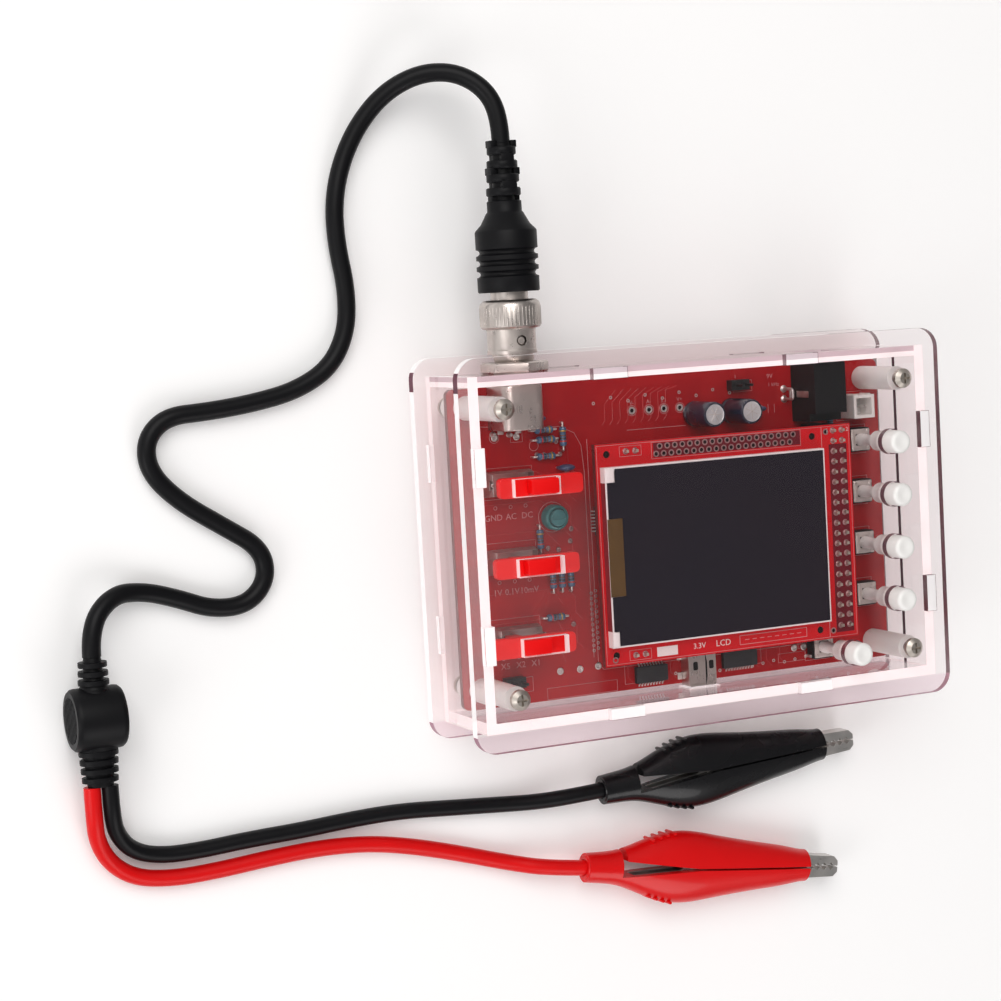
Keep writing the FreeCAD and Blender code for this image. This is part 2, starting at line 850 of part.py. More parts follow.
def makeSlideSwitches():
    bodies = []
    for row in sliderRows:
        y = sliderY(row)
        sides = ("dims.slideBodyLong", "dims.slideBodyWide", "dims.slideBodyTall")
        can = block(*sides, "place.sliderX", y, "place.boardTop")
        window = block(
            "dims.leverLong + 2 * dims.sliderStep + 2 * dims.slideWall",
            "dims.leverWide + dims.slideWall",
            "dims.slideBodyTall",
            "place.sliderX",
            y,
            "place.boardTop + dims.slideBodyTall - dims.leverSink - dims.barGap",
        )
        bodies.append(cut(can, window))
    keep(group(bodies), "slide_switches")


def makeSlider(number, row, step):
    """A bar under the front plate, with a thumb piece in the slot and a leg down to the switch."""
    x = f"place.sliderX + {step} * dims.sliderStep"
    y = sliderY(row)
    bar = block("dims.barLong", "dims.barWide", "dims.barThick", x, y, "place.barZ")
    thumbTall = "dims.barGap + dims.plateThick"
    thumb = block("dims.thumbLong", "dims.thumbWide", thumbTall, x, y, "place.barZ + dims.barThick")
    leverZ = "place.boardTop + dims.slideBodyTall - dims.leverSink"
    lever = block("dims.leverLong", "dims.leverWide", f"place.barZ - ({leverZ})", x, y, leverZ)
    keep(fuse(bar, thumb, lever), f"slider_{number}")


makeSlideSwitches()
for number, (row, step) in enumerate(zip(sliderRows, (1, 0, -1)), 1):
    makeSlider(number, row, step)


# ---- supply, computer and battery sockets -----------------------------------


def makeSupplyJack():
    y = "place.jackY + dims.jackLong / 2"
    shell = block("dims.jackWide", "dims.jackLong", "dims.jackTall", "place.jackX", y, "place.boardTop")
    mouth = "place.jackY + dims.jackLong - dims.jackBoreDeep"
    spot = ("place.jackX", mouth, "place.jackZ", alongY)
    bore = rod("dims.jackBore", "dims.jackBoreDeep + dims.overcut", *spot)
    step = block(
        "dims.jackWide + dims.overcut",
        "2 * dims.jackStepLong",
        "dims.jackStepTall + dims.overcut",
        "place.jackX",
        "place.jackY",
        "place.boardTop + dims.jackTall - dims.jackStepTall",
    )
    keep(cut(shell, bore, step), "dc_jack")
    keep(rod("dims.jackPinRadius", "dims.jackPinLong", *spot), "dc_jack_pin")


def makeUsbSocket():
    y = "place.usbY + dims.usbLong / 2"
    shell = block("dims.usbWide", "dims.usbLong", "dims.usbTall", "place.usbX", y, "place.boardTop")
    inner = block(
        "dims.usbWide - 2 * dims.usbWall",
        "dims.usbLong",
        "dims.usbTall - 2 * dims.usbWall",
        "place.usbX",
        f"{y} - 2 * dims.usbWall",
        "place.boardTop + dims.usbWall",
    )
    tongueY = "place.usbY + dims.usbLong - dims.usbTongueLong / 2"
    tongueZ = "place.boardTop + dims.usbTall / 2"
    sides = ("dims.usbTongueWide", "dims.usbTongueLong", "2 * dims.usbWall")
    tongue = block(*sides, "place.usbX", tongueY, tongueZ)
    keep(fuse(cut(shell, inner), tongue), "usb_socket")


def postPair(x, y, tall):
    """Two square pins one pitch apart that stand on the board."""
    spots = [f"{x} + {side} * dims.pinPitch / 2" for side in (-1, 1)]
    return [block("2 * dims.pinHalf", "2 * dims.pinHalf", tall, spot, y, "place.boardTop") for spot in spots]


def makeBatteryHeader():
    y = "place.midY + place.batteryUp"
    sides = ("dims.batteryWide", "dims.batteryLong", "dims.batteryTall")
    shell = block(*sides, "place.batteryX", y, "place.boardTop")
    inner = block(
        "dims.batteryWide - 2 * dims.batteryWall",
        "dims.batteryLong - 2 * dims.batteryWall",
        "dims.batteryTall",
        "place.batteryX",
        y,
        "place.boardTop + 2 * dims.batteryWall",
    )
    posts = postPair("place.batteryX", y, "dims.batteryPinTall")
    keep(fuse(cut(shell, inner), *posts), "battery_header")


makeSupplyJack()
makeUsbSocket()
makeBatteryHeader()


# ---- loose components -------------------------------------------------------

# places beside the middle slider's axis, (across, up), with which resistors lie across the board
resistorSpots = [
    (10, 26.9, 1), (10.4, 24.6, 1), (10.3, 20.6, 1), (7.6, 1, 0), (10.4, -8.8, 0),
    (12.8, -8.8, 0), (15.2, -8.8, 0), (10.6, -18, 1), (15, 25, 0),
]
discSpots = [(7.8, 29.8), (14.8, 17.6), (8, -4)]
jumperSpots = [(-1.2, -29)]
# place along the board, place above the middle of the display board, width and depth
chipSpots = [
    ("place.displayX - 17", -31.4, 8.6, 4),
    ("place.displayX + 7.8", -30.4, 9.6, 4.2),
    ("place.displayX - 26.8", -3, 7, 7),
    ("place.displayX - 1.6", 5.2, 9, 9),
]


def bySliders(across, up):
    return f"place.sliderX + {across}", f"place.midY + place.sliderUp + {up}"


def makeResistor(x, y, flat):
    turn = alongX if flat else alongY
    slide = (1, 0) if flat else (0, 1)
    z = "place.boardTop + dims.wireRise"
    start = [f"{axis} - {go} * dims.resistorLong / 2" for axis, go in zip((x, y), slide)]
    bodyRod = rod("dims.resistorRadius", "dims.resistorLong", *start, z, turn)
    wireHalf = "(dims.resistorLong / 2 + dims.wireReach)"
    begin = [f"{axis} - {go} * {wireHalf}" for axis, go in zip((x, y), slide)]
    wire = rod("dims.wireRadius", f"2 * {wireHalf}", *begin, z, turn)
    legs = []
    for side in (-1, 1):
        spot = [f"{axis} + {side} * {go} * {wireHalf}" for axis, go in zip((x, y), slide)]
        legs.append(rod("dims.wireRadius", "dims.wireRise", *spot, "place.boardTop"))
    return fuse(bodyRod, wire, *legs)


def makeDisc(x, y):
    """A ceramic disc on edge, on two wires."""
    lift = "place.boardTop + dims.discRadius + dims.wireRise / 2"
    disc = rod("dims.discRadius", "dims.discThick", x, f"{y} - dims.discThick / 2", lift, alongY)
    spots = [f"{x} + {side} * dims.pinPitch / 2" for side in (-1, 1)]
    legs = [rod("dims.wireRadius", f"{lift} - place.boardTop", spot, y, "place.boardTop") for spot in spots]
    return fuse(disc, *legs)


def makeJumper(x, y):
    base = block("2 * dims.pinPitch", "dims.pinPitch", "dims.pinBaseTall", x, y, "place.boardTop")
    return fuse(base, *postPair(x, y, "dims.postTall"))


def makeCans():
    cans = []
    for side in (-0.5, 0.5):
        outline = [
            ("0", "0"),
            ("dims.canRadius", "0"),
            ("dims.canRadius", "dims.beadRise"),
            ("dims.canRadius - dims.canBead", "dims.beadRise + dims.beadWide / 2"),
            ("dims.canRadius", "dims.beadRise + dims.beadWide"),
            ("dims.canRadius", "dims.canTall - dims.canBead"),
            ("dims.canRadius - dims.canBead", "dims.canTall"),
            ("0", "dims.canTall"),
        ]
        across = f"place.canX + {side} * dims.canPitch"
        cans.append(turned(outline, across, "place.midY + place.canUp", "place.boardTop"))
    keep(group(cans), "capacitor_cans")


def makeTrimmer():
    x, y = "place.trimmerX", "place.midY + place.trimmerUp"
    shell = rod("dims.trimmerRadius", "dims.trimmerTall", x, y, "place.boardTop")
    rotorZ = "place.boardTop + dims.trimmerTall - dims.rotorSunk"
    well = rod("dims.rotorRadius + dims.threadGap", "dims.rotorTall", x, y, rotorZ)
    keep(cut(shell, well), "trimmer_body")
    disc = rod("dims.rotorRadius", "dims.rotorTall", x, y, rotorZ)
    grooveZ = f"{rotorZ} + dims.rotorTall / 2"
    groove = block("2 * dims.rotorRadius + dims.overcut", "dims.rotorSlot", "dims.rotorTall", x, y, grooveZ)
    keep(cut(disc, groove), "trimmer_rotor")


def makeSmallParts():
    resistors = [makeResistor(*bySliders(across, up), flat) for across, up, flat in resistorSpots]
    left = "place.batteryX - dims.batteryWide - dims.loopGap / 4"
    resistors.append(makeResistor(left, "place.midY + place.batteryUp - dims.loopRise", 0))
    keep(group(resistors), "resistors")
    byCans = "place.canX + dims.canPitch + dims.canRadius - dims.loopGap"
    discs = [makeDisc(*bySliders(*spot)) for spot in discSpots]
    discs.append(makeDisc(byCans, "place.midY + place.canUp"))
    keep(group(discs), "disc_capacitors")
    chips = []
    for x, up, wide, deep in chipSpots:
        y = f"place.midY + place.displayUp + {up}"
        chips.append(block(wide, deep, "dims.chipTall", x, y, "place.boardTop"))
    keep(group(chips), "chips")
    jumpers = [makeJumper(*bySliders(*spot)) for spot in jumperSpots]
    right = "place.canX + dims.canPitch - dims.canRadius"
    jumpers.append(makeJumper(right, "place.midY + place.canUp + 2 * dims.canRadius"))
    keep(group(jumpers), "pin_headers")


makeCans()
makeTrimmer()
makeSmallParts()


def makeTestLoop():
    """A bent wire where the square-wave test signal comes out."""
    x = "place.jackX - dims.jackWide / 2 - dims.loopGap"
    y = "place.midY + place.canUp + dims.loopRise"
    top = "place.boardTop + dims.loopTall"
    spots = [f"{y} + {side} * dims.pinPitch / 2" for side in (-1, 1)]
    legs = [rod("dims.loopRadius", "dims.loopTall", x, spot, "place.boardTop") for spot in spots]
    bridge = rod("dims.loopRadius", "dims.pinPitch", x, spots[0], top, alongY)
    bends = []
    for spot in spots:
        bend = doc.addObject("Part::Sphere", "bend")
        bend.setExpression("Radius", "dims.loopRadius")
        bends.append(seat(bend, x, spot, top))
    keep(fuse(*legs, bridge, *bends), "test_loop")


makeTestLoop()


# ---- signal socket and bayonet plug -----------------------------------------


def onSignalAxis(corners):
    """A piece turned about the socket's axis: radii with row Y positions."""
    return turned(corners, "place.bncX", "0", "place.bncZ", alongY)


def signalRod(radius, start, stop):
    return rod(radius, f"({stop}) - ({start})", "place.bncX", start, "place.bncZ", alongY)


def makeSignalJack():
    y = "place.bncBlockY + dims.bncBlockLong / 2"
    sides = ("dims.bncBlockWide", "dims.bncBlockLong", "dims.bncBlockTall")
    foot = block(*sides, "place.bncX", y, "place.boardTop")
    tube = onSignalAxis(
        [
            ("0", "place.blockFront - dims.barrelWall"),
            ("dims.threadRadius", "place.blockFront - dims.barrelWall"),
            ("dims.threadRadius", "place.barrelY"),
            ("dims.barrelRadius", "place.barrelY"),
            ("dims.barrelRadius", "place.barrelEnd"),
            ("dims.barrelRadius - dims.barrelWall", "place.barrelEnd"),
            ("dims.barrelRadius - dims.barrelWall", "place.barrelY + dims.barrelWall"),
            ("0", "place.barrelY + dims.barrelWall"),
        ]
    )
    tall = "2 * (dims.barrelRadius + dims.lugProud)"
    lugs = rod("dims.lugRadius", tall, "place.bncX", "place.lugY", f"place.bncZ - ({tall}) / 2")
    mouth = "place.barrelEnd + dims.overcut"
    hollow = signalRod("dims.barrelRadius - dims.barrelWall", "place.barrelY + dims.barrelWall", mouth)
    rear = "place.bncBlockY + dims.bncBlockLong / 2"
    core = signalRod("dims.insulatorRadius + dims.threadGap", rear, "place.barrelEnd")
    keep(cut(fuse(foot, tube, lugs), hollow, core), "signal_jack")
    front = "place.barrelEnd - dims.insulatorBack"
    insulator = onSignalAxis(
        [
            ("0", rear),
            ("dims.insulatorRadius", rear),
            ("dims.insulatorRadius", front),
            ("dims.contactBore", front),
            ("dims.contactBore", f"{front} - dims.plugPinLong"),
            ("0", f"{front} - dims.plugPinLong"),
        ]
    )
    keep(insulator, "signal_insulator")


def makeNut():
    """A hexagon with its two faces square to the socket's axis."""
    body = newBody()
    sketch = sketchOn(body, "XZ_Plane")
    reach = "dims.nutWide / 2 / cos(30)"
    polygon(sketch, [(f"{reach} * cos({60 * n})", f"{reach} * sin({60 * n})") for n in range(6)])
    hole(sketch, "0", "0", "dims.threadRadius + dims.nutGap")
    pad(body, sketch, "dims.nutThick", back=True)
    seat(body, "place.bncX", "place.panelOut", "place.bncZ")
    keep(body, "signal_nut")


def camGroove():
    """The two helical grooves inside the ring, each from a lug's locked place to the ring's mouth."""
    inner = dims.sleeveRadius
    outer = place.grooveRadius
    half = dims.lugRadius + dims.lugGap
    helix = Part.makeHelix(dims.camRise * 360 / dims.slotTurn, dims.camRise, outer)
    corners = [(inner, -half), (outer, -half), (outer, half), (inner, half), (inner, -half)]
    outline = Part.makePolygon([vector(radius, 0, height) for radius, height in corners])
    track = Part.Wire(helix.Edges).makePipeShell([outline], True, True)
    entry = Part.makeBox(outer, 2 * half, dims.ringSkirtLong, vector(0, -half, half - dims.ringSkirtLong))
    far = vector(0, 0, -dims.ringSkirtLong)
    entry = entry.common(Part.makeCylinder(outer, 2 * dims.ringSkirtLong, far))
    entry = entry.cut(Part.makeCylinder(inner, 2 * dims.ringSkirtLong, far))
    one = track.fuse(entry)
    one.rotate(vector(0, 0, 0), vector(0, 0, 1), -dims.slotTurn)
    one.translate(vector(0, 0, -dims.camRise))
    other = one.copy()
    other.rotate(vector(0, 0, 0), vector(0, 0, 1), 180)
    item = doc.addObject("Part::Feature", "camGroove")
    item.Shape = Part.makeCompound([one, other])
    lugsUp = alongY * FreeCAD.Rotation(vector(0, 0, 1), -90)
    item.Placement = FreeCAD.Placement(vector(place.bncX, place.lugY, place.bncZ), lugsUp)
    return item


def makeBayonetRing():
    bore = "dims.barrelRadius + dims.ringGap"
    wide = "dims.barrelRadius + dims.lugProud + dims.ringGap"
    flange = "place.gripEnd - dims.ringFlange"
    chamfer = "dims.ringFlange / 2"
    body = onSignalAxis(
        [
            (bore, "place.ringY"),
            ("dims.ringSkirt", "place.ringY"),
            ("dims.ringSkirt", "place.gripY"),
            (f"dims.ringRadius - {chamfer}", "place.gripY"),
            ("dims.ringRadius", f"place.gripY + {chamfer}"),
            ("dims.ringRadius", f"place.gripEnd - {chamfer}"),
            (f"dims.ringRadius - {chamfer}", "place.gripEnd"),
            ("dims.neckRadius + dims.ringGap", "place.gripEnd"),
            ("dims.neckRadius + dims.ringGap", flange),
            (wide, flange),
            (wide, "place.gripY"),
            (bore, "place.gripY"),
        ]
    )
    sketch = sketchOn(body, "XY_Plane", "place.gripY")
    hole(sketch, "dims.ringRadius", "0", "dims.gripGroove")
    groove = pocket(body, sketch, "dims.ringGripLong", back=True)
    pattern = body.newObject("PartDesign::PolarPattern", "ribs")
    pattern.Originals = [groove]
    pattern.Axis = (sketch, ["N_Axis"])
    pattern.Angle = 360
    pattern.setExpression("Occurrences", "dims.gripRibs")
    body.Tip = pattern
    tall = "2 * dims.ringRadius"
    low = "place.bncZ - dims.ringRadius"
    windows = rod("dims.lugRadius + dims.lugGap", tall, "place.bncX", "place.lugY", low)
    keep(cut(body, camGroove(), windows), "bayonet_ring")


def makePlug():
    bore = "dims.sleeveRadius - dims.sleeveWall"
    collarEnd = "place.collarY + dims.collarLong"
    core = onSignalAxis(
        [
            ("0", "place.collarY"),
            (bore, "place.collarY"),
            (bore, "place.barrelEnd - dims.sleeveLong"),
            ("dims.sleeveRadius", "place.barrelEnd - dims.sleeveLong"),
            ("dims.sleeveRadius", "place.collarY"),
            ("dims.barrelRadius + dims.lugProud", "place.collarY"),
            ("dims.barrelRadius + dims.lugProud", collarEnd),
            ("dims.neckRadius", collarEnd),
            ("dims.neckRadius", "place.plugY + dims.neckSunk"),
            ("0", "place.plugY + dims.neckSunk"),
        ]
    )
    keep(core, "plug_core")
    keep(signalRod("dims.plugPinRadius", "place.collarY - dims.plugPinLong", "place.collarY"), "plug_pin")
    start = "place.gripEnd - dims.ringFlange - dims.washerThick - dims.ringGap"
    stop = f"{start} + dims.washerThick"
    inner = "dims.neckRadius + dims.ringGap"
    outer = "dims.barrelRadius + dims.lugProud"
    washer = onSignalAxis([(inner, start), (outer, start), (outer, stop), (inner, stop)])
    keep(washer, "wave_washer")


def ribbed(outer, groove, start, stop, count, tip):
    """Corners along a moulded grip: raised rings between grooves, from start to stop."""
    corners = []
    steps = 2 * int(count) + 1
    for step in range(steps):
        for end in (step, step + 1):
            share = end / steps
            radius = f"{outer} + ({tip} - {outer}) * {share:.4f}"
            sunk = f" - {groove}" if step % 2 else ""
            corners.append((f"{radius}{sunk}", f"{start} + ({stop} - ({start})) * {share:.4f}"))
    return corners


def makeBoot():
    neckEnd = "place.plugY + dims.neckSunk"
    gripEnd = "place.plugY + dims.bootLong"
    coneEnd = f"{gripEnd} + dims.bootCone"
    tip = f"{coneEnd} + dims.reliefLong"
    wide, thin = "dims.bootRadius", "dims.reliefRadius"
    grip = ribbed(wide, "dims.bootGroove", "place.plugY", gripEnd, sizes["bootGrooves"], wide)
    relief = ribbed(thin, "dims.reliefGroove", coneEnd, tip, sizes["reliefRings"], "dims.reliefTip")
    neck = "dims.neckRadius + dims.threadGap"
    corners = [("0", neckEnd), (neck, neckEnd), (neck, "place.plugY"), *grip, *relief, ("0", tip)]
    keep(onSignalAxis(corners), "cable_boot")


makeSignalJack()
makeNut()
makeBayonetRing()
makePlug()
makeBoot()


# ---- cords ------------------------------------------------------------------

# corners of each route, laid by hand
coaxRoute = [
    (-44.9, 90.25, 17.6), (-44.9, 96.5, 17.6), (-47.6, 103, 16.4), (-53.6, 107.2, 13.4),
    (-61, 107.4, 9.6), (-68.4, 103.6, 6.2), (-74.2, 97, 3.6), (-78.6, 88.6, 2.15),
    (-81.3, 79, 2.15), (-81.2, 69, 2.15), (-79.4, 58.6, 2.15), (-80, 48.8, 2.15),
    (-84.6, 40.6, 2.15), (-93.4, 35.8, 2.15), (-104.4, 33.6, 2.15), (-115.2, 32.5, 2.15),
    (-125, 32.1, 2.15), (-130.2, 27.1, 2.15), (-129.8, 19.8, 2.15), (-123.2, 12.6, 2.15),
    (-113.2, 6, 2.15), (-104.4, 0.2, 2.15), (-103.3, -7, 2.15), (-108.4, -12.6, 2.15),
    (-117, -12.8, 2.15), (-125.2, -9.4, 2.15), (-133.2, -6.9, 2.9), (-141, -6.6, 5),
    (-147.2, -12.8, 7.15), (-147.2, -19.8, 7.15),
]
blackRoute = [
    (-145.15, -49, 7.15), (-145.15, -54.6, 7.15), (-144, -60.6, 4.9), (-140, -65.6, 2.7),
    (-133.4, -67.9, 1.95), (-124.4, -68.1, 1.95), (-112, -67.3, 1.95), (-99, -67, 1.95),
    (-86, -66.2, 1.95), (-74, -66, 1.95), (-61, -67, 1.95), (-48.5, -68, 1.95),
    (-38, -68.5, 3.4), (-28.5, -67.97, 5.1), (-21.5, -67.6, 5.1),
]
redRoute = [
    (-149.25, -49, 7.15), (-149.25, -55.4, 7.15), (-148.4, -62, 4.9), (-145, -68, 2.7),
    (-139.2, -72.2, 1.95), (-130.6, -73.6, 1.95), (-120, -73.4, 1.95), (-107.5, -72.4, 1.95),
    (-94.5, -71.8, 1.95), (-82, -72.6, 1.95), (-70, -75.2, 1.95), (-58, -78.8, 1.95),
    (-47, -82.4, 2.2), (-37.2, -84.81, 5.1), (-27.3, -86.2, 5.1),
]


def makeCord(label, route, radius):
    """A tube along straight runs that tangent arcs join."""
    points = [vector(*spot) for spot in route]
    edges = []
    start = points[0]
    tightest = None
    for before, corner, after in zip(points, points[1:], points[2:]):
        back = (before - corner).normalize()
        ahead = (after - corner).normalize()
        half = (math.pi - back.getAngle(ahead)) / 2
        trim = 0.45 * min(before.distanceToPoint(corner), after.distanceToPoint(corner))
        bend = trim / math.tan(half)
        enter = corner + back * trim
        leave = corner + ahead * trim
        toCentre = (back + ahead).normalize()
        middle = corner + toCentre * (bend / math.cos(half) - bend)
        edges.append(Part.LineSegment(start, enter).toShape())
        edges.append(Part.Arc(enter, middle, leave).toShape())
        start = leave
        tightest = bend if tightest is None else min(tightest, bend)
    edges.append(Part.LineSegment(start, points[-1]).toShape())
    path = Part.Wire(edges)
    ring = Part.Wire(Part.makeCircle(radius, points[0], points[1] - points[0]))
    tube = path.makePipeShell([ring], True, False)
    item = doc.addObject("Part::Feature", label)
    item.Shape = tube
    share = tube.Volume / (math.pi * radius**2 * path.Length)
    print(f"{label}: {path.Length:.1f} mm long, tightest arc {tightest:.1f} mm, volume share {share:.4f}")
    keep(item, label)


makeCord("coax_cable", coaxRoute, dims.coaxRadius)
makeCord("black_lead", blackRoute, dims.leadRadius)
makeCord("red_lead", redRoute, dims.leadRadius)


def makeSplitter():
    """A ribbed drum on its round side, with a neck for the cable and a wider one for the leads."""
    spot = ("dims.splitX", "dims.splitY", "dims.splitRadius")
    groove, count = "dims.splitGroove", sizes["splitGrooves"]
    left, right = "-dims.splitWide / 2", "dims.splitWide / 2"
    rim = ribbed("dims.splitRadius", groove, left, right, count, "dims.splitRadius")
    thick, thin = "dims.splitNeckRadius + dims.ribTaper", "dims.splitNeckRadius"
    neck = ribbed(thick, groove, "0", "dims.splitNeck", count, thin)
    tail = ribbed("dims.splitTailRadius", groove, "-dims.splitTail", "0", count, "dims.splitTailRadius")
    drum = turned([("0", left), *rim, ("0", right)], *spot, alongX)
    upper = turned([("0", "0"), *neck, ("0", "dims.splitNeck")], *spot, alongY)
    lower = turned([("0", "-dims.splitTail"), *tail, ("0", "0")], *spot, alongY)
    keep(fuse(drum, upper, lower), "splitter")


makeSplitter()


# ---- alligator clips --------------------------------------------------------

# sections of the insulating boot: place along the clip, half width across the jaws, half height
bootStations = [
    (0, 3.6, 3.4), (9, 4.5, 3.9), (15, 6.5, 4.4), (25, 9, 4.95),
    (36, 8, 4.85), (48, 6.2, 4.5), (58, 4.8, 4.1), (63, 4.1, 3.8),
]
# outer edge of a jaw ahead of its rear end: place along the clip and half width
jawRearHalf = 4.6
jawEdge = [(24, 6.7), (31, 6.5), (46, 4.7), (63, 2.9)]
far = "2 * dims.clipTail"


def layClip(item, colour):
    spot = f"vector(dims.{colour}ClipX; dims.{colour}ClipY; dims.clipZ)"
    turn = f"rotation(vector(0; 0; 1); dims.{colour}ClipTurn)"
    item.setExpression("Placement", f"placement({spot}; {turn})")
    return item


def slab(corners, wide):
    """A flat outline in the plane of the jaws, as thick as wide about the clip's middle."""
    body = newBody()
    sketch = sketchOn(body, "XY_Plane")
    polygon(sketch, corners)
    pad(body, sketch, wide, symmetric=True)
    return body


def jawOutline(side, meeting):
    """Corners of one jaw: along its outer edge to the tip, then back by the meeting edge."""
    corners = [("dims.jawRear", f"{side} * {jawRearHalf}")]
    corners += [(str(along), f"{side} * {half}") for along, half in jawEdge]
    corners.append(("dims.clipLong - dims.tipSlant", f"{side} * dims.jawNose"))
    corners.append(("dims.clipLong", f"{side} * dims.jawTip"))
    return corners + meeting


def toothedEdge(side):
    """Saw teeth from the tip back, then the plain edge to the ears."""
    corners = [("dims.clipLong", f"{side} * dims.jawGap")]
    for tooth in range(int(sizes["teeth"])):
        start = f"dims.clipLong - dims.tipSlant - {tooth} * dims.toothPitch"
        corners.append((start, f"{side} * dims.jawGap"))
        corners.append((f"{start} - dims.toothFall", f"{side} * (dims.jawGap + dims.toothDeep)"))
    return corners + [("dims.clipPivot + dims.earRadius + dims.overcut", f"{side} * dims.jawGap")]


def channel(side):
    """The hollow of the folded sheet, open along the meeting edge and at the rear."""
    rear = "dims.jawRear - dims.overcut"
    corners = [(rear, f"{side} * ({jawRearHalf} - dims.clipSheet)")]
    corners += [(str(along), f"{side} * ({half} - dims.clipSheet)") for along, half in jawEdge]
    return corners + [(str(jawEdge[-1][0]), f"-{side} * {far}"), (rear, f"-{side} * {far}")]


def rearEdge(side):
    """The meeting edge behind the ears, which slants away so that the jaws can be squeezed open."""
    near = "dims.earRadius * place.wedge + dims.clipSplit"
    back = "(dims.clipPivot - dims.jawRear) * place.wedge + dims.clipSplit"
    ahead = "dims.clipPivot - dims.earRadius - dims.overcut"
    return [(ahead, f"{side} * ({near})"), ("dims.jawRear", f"{side} * ({back})")]


def pivotRod(radius, wide):
    return rod(radius, wide, "dims.clipPivot", "0", f"-({wide}) / 2")


def makeLowerJaw(colour):
    reach, lift = "dims.earRadius", "dims.earLift"
    ears = [
        (f"dims.clipPivot + {reach}", "-dims.jawGap"),
        (f"dims.clipPivot + {lift}", lift),
        (f"dims.clipPivot - {lift}", lift),
        (f"dims.clipPivot - {reach}", "-dims.jawGap"),
    ]
    solid = slab(jawOutline("-1", toothedEdge("-1") + ears + rearEdge("-1")), "dims.clipWide")
    hollow = slab(channel("-1"), "dims.clipWide - 2 * dims.clipSheet")
    rivet = pivotRod("dims.clipRivet", "dims.clipWide")
    keep(layClip(fuse(cut(solid, hollow), rivet), colour), f"{colour}_lower_jaw")


def makeUpperJaw(colour):
    """Its ears lie inside the lower jaw's, round the same rivet."""
    solid = slab(jawOutline("1", toothedEdge("1") + rearEdge("1")), "dims.clipWide")
    hollow = slab(channel("1"), "dims.clipWide - 2 * dims.clipSheet")
    clear = pivotRod("dims.earRadius + dims.earRoom", "dims.clipWide + dims.overcut")
    bore = pivotRod("dims.clipRivet + dims.threadGap", "dims.clipWide + dims.overcut")
    inner = "(dims.clipWide / 2 - dims.clipSheet - dims.earGap)"
    reach = f"({jawEdge[1][1]} - dims.clipSheet / 2)"
    ears = []
    for low in (f"-{inner}", f"{inner} - dims.clipSheet"):
        strip = block("2 * dims.innerEar", reach, "dims.clipSheet", "dims.clipPivot", f"{reach} / 2", low)
        ears += [strip, rod("dims.innerEar", "dims.clipSheet", "dims.clipPivot", "0", low)]
    keep(layClip(cut(fuse(cut(solid, hollow, clear), *ears), bore), colour), f"{colour}_upper_jaw")


def boot():
    sections = []
    acrossClip = FreeCAD.Rotation(vector(1, 1, 1), 120)
    for along, half, tall in bootStations:
        ring = doc.addObject("Part::Ellipse", "ring")
        ring.MajorRadius = half
        ring.MinorRadius = tall
        ring.Placement = FreeCAD.Placement(vector(along, 0, 0), acrossClip)
        sections.append(ring)
    loft = doc.addObject("Part::Loft", "loft")
    loft.Sections = sections
    loft.Solid = True
    return loft


def makeBoots(colour):
    """The two halves of the boot. The lower one keeps the whole tail ring, where the lead goes in."""
    end, behind = "dims.clipLong", "-dims.overcut"
    ring = "dims.clipTail"
    rear = f"{ring} + dims.bootGap"
    lowerRise = f"dims.clipSplit + (dims.clipPivot - {ring}) * place.wedge"
    upperRise = f"dims.clipSplit + (dims.clipPivot - {rear}) * place.wedge"
    lowerShare = slab(
        [
            (behind, f"-{far}"),
            (end, f"-{far}"),
            (end, "-dims.clipSplit"),
            ("dims.clipPivot", "-dims.clipSplit"),
            (ring, f"-({lowerRise})"),
            (ring, far),
            (behind, far),
        ],
        far,
    )
    front = [("dims.clipPivot", "dims.clipSplit"), (end, "dims.clipSplit"), (end, far)]
    upperShare = slab([(rear, far), (rear, upperRise), *front], far)
    back = "dims.jawRear - dims.clipFit"
    for share, side, name in ((lowerShare, "-1", "lower"), (upperShare, "1", "upper")):
        room = [(back, f"{side} * ({jawRearHalf} + dims.clipFit)")]
        room += [(str(along), f"{side} * ({half} + dims.clipFit)") for along, half in jawEdge]
        room += [(end, f"{side} * (dims.jawNose + dims.clipFit)"), (end, f"-{side} * {far}")]
        room.append((back, f"-{side} * {far}"))
        hollow = slab(room, "dims.clipWide + 2 * dims.clipFit")
        keep(layClip(cut(common(boot(), share), hollow), colour), f"{colour}_{name}_boot")


def makeSpring(colour):
    """The coil round the rivet, with its leg against the lower jaw."""
    coil = pivotRod("dims.springRadius", "dims.clipWide - 4 * dims.clipSheet - 4 * dims.earGap")
    eye = pivotRod("dims.clipRivet + dims.clipFit", "dims.clipWide")
    along = "dims.clipPivot - dims.springLeg / 2"
    side = "-dims.springRadius + dims.springWire / 2"
    leg = block("dims.springLeg", "dims.springWire", "dims.springWire", along, side, "-dims.springWire / 2")
    return layClip(cut(fuse(coil, leg), eye), colour)


for colour in ("red", "black"):
    makeLowerJaw(colour)
    makeUpperJaw(colour)
    makeBoots(colour)
keep(group([makeSpring("red"), makeSpring("black")]), "clip_springs")


# ---- write ------------------------------------------------------------------


def writeParts():
    doc.recompute()
    bad = [item.Name for item in doc.Objects if {"Invalid", "Error"} & set(item.State)]
    if bad:
        raise RuntimeError(f"failed objects: {bad}")
    for item in subParts:
        if item.Shape.isNull() or not item.Shape.isValid():
            raise RuntimeError(f"{item.Label} has no valid shape")
    os.makedirs("parts", exist_ok=True)
    for item in subParts:
        item.Shape.exportStep(f"parts/{item.Label}.step")


writeParts()
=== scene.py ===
import math

import bmesh
import bpy
from mathutils import Matrix, Vector


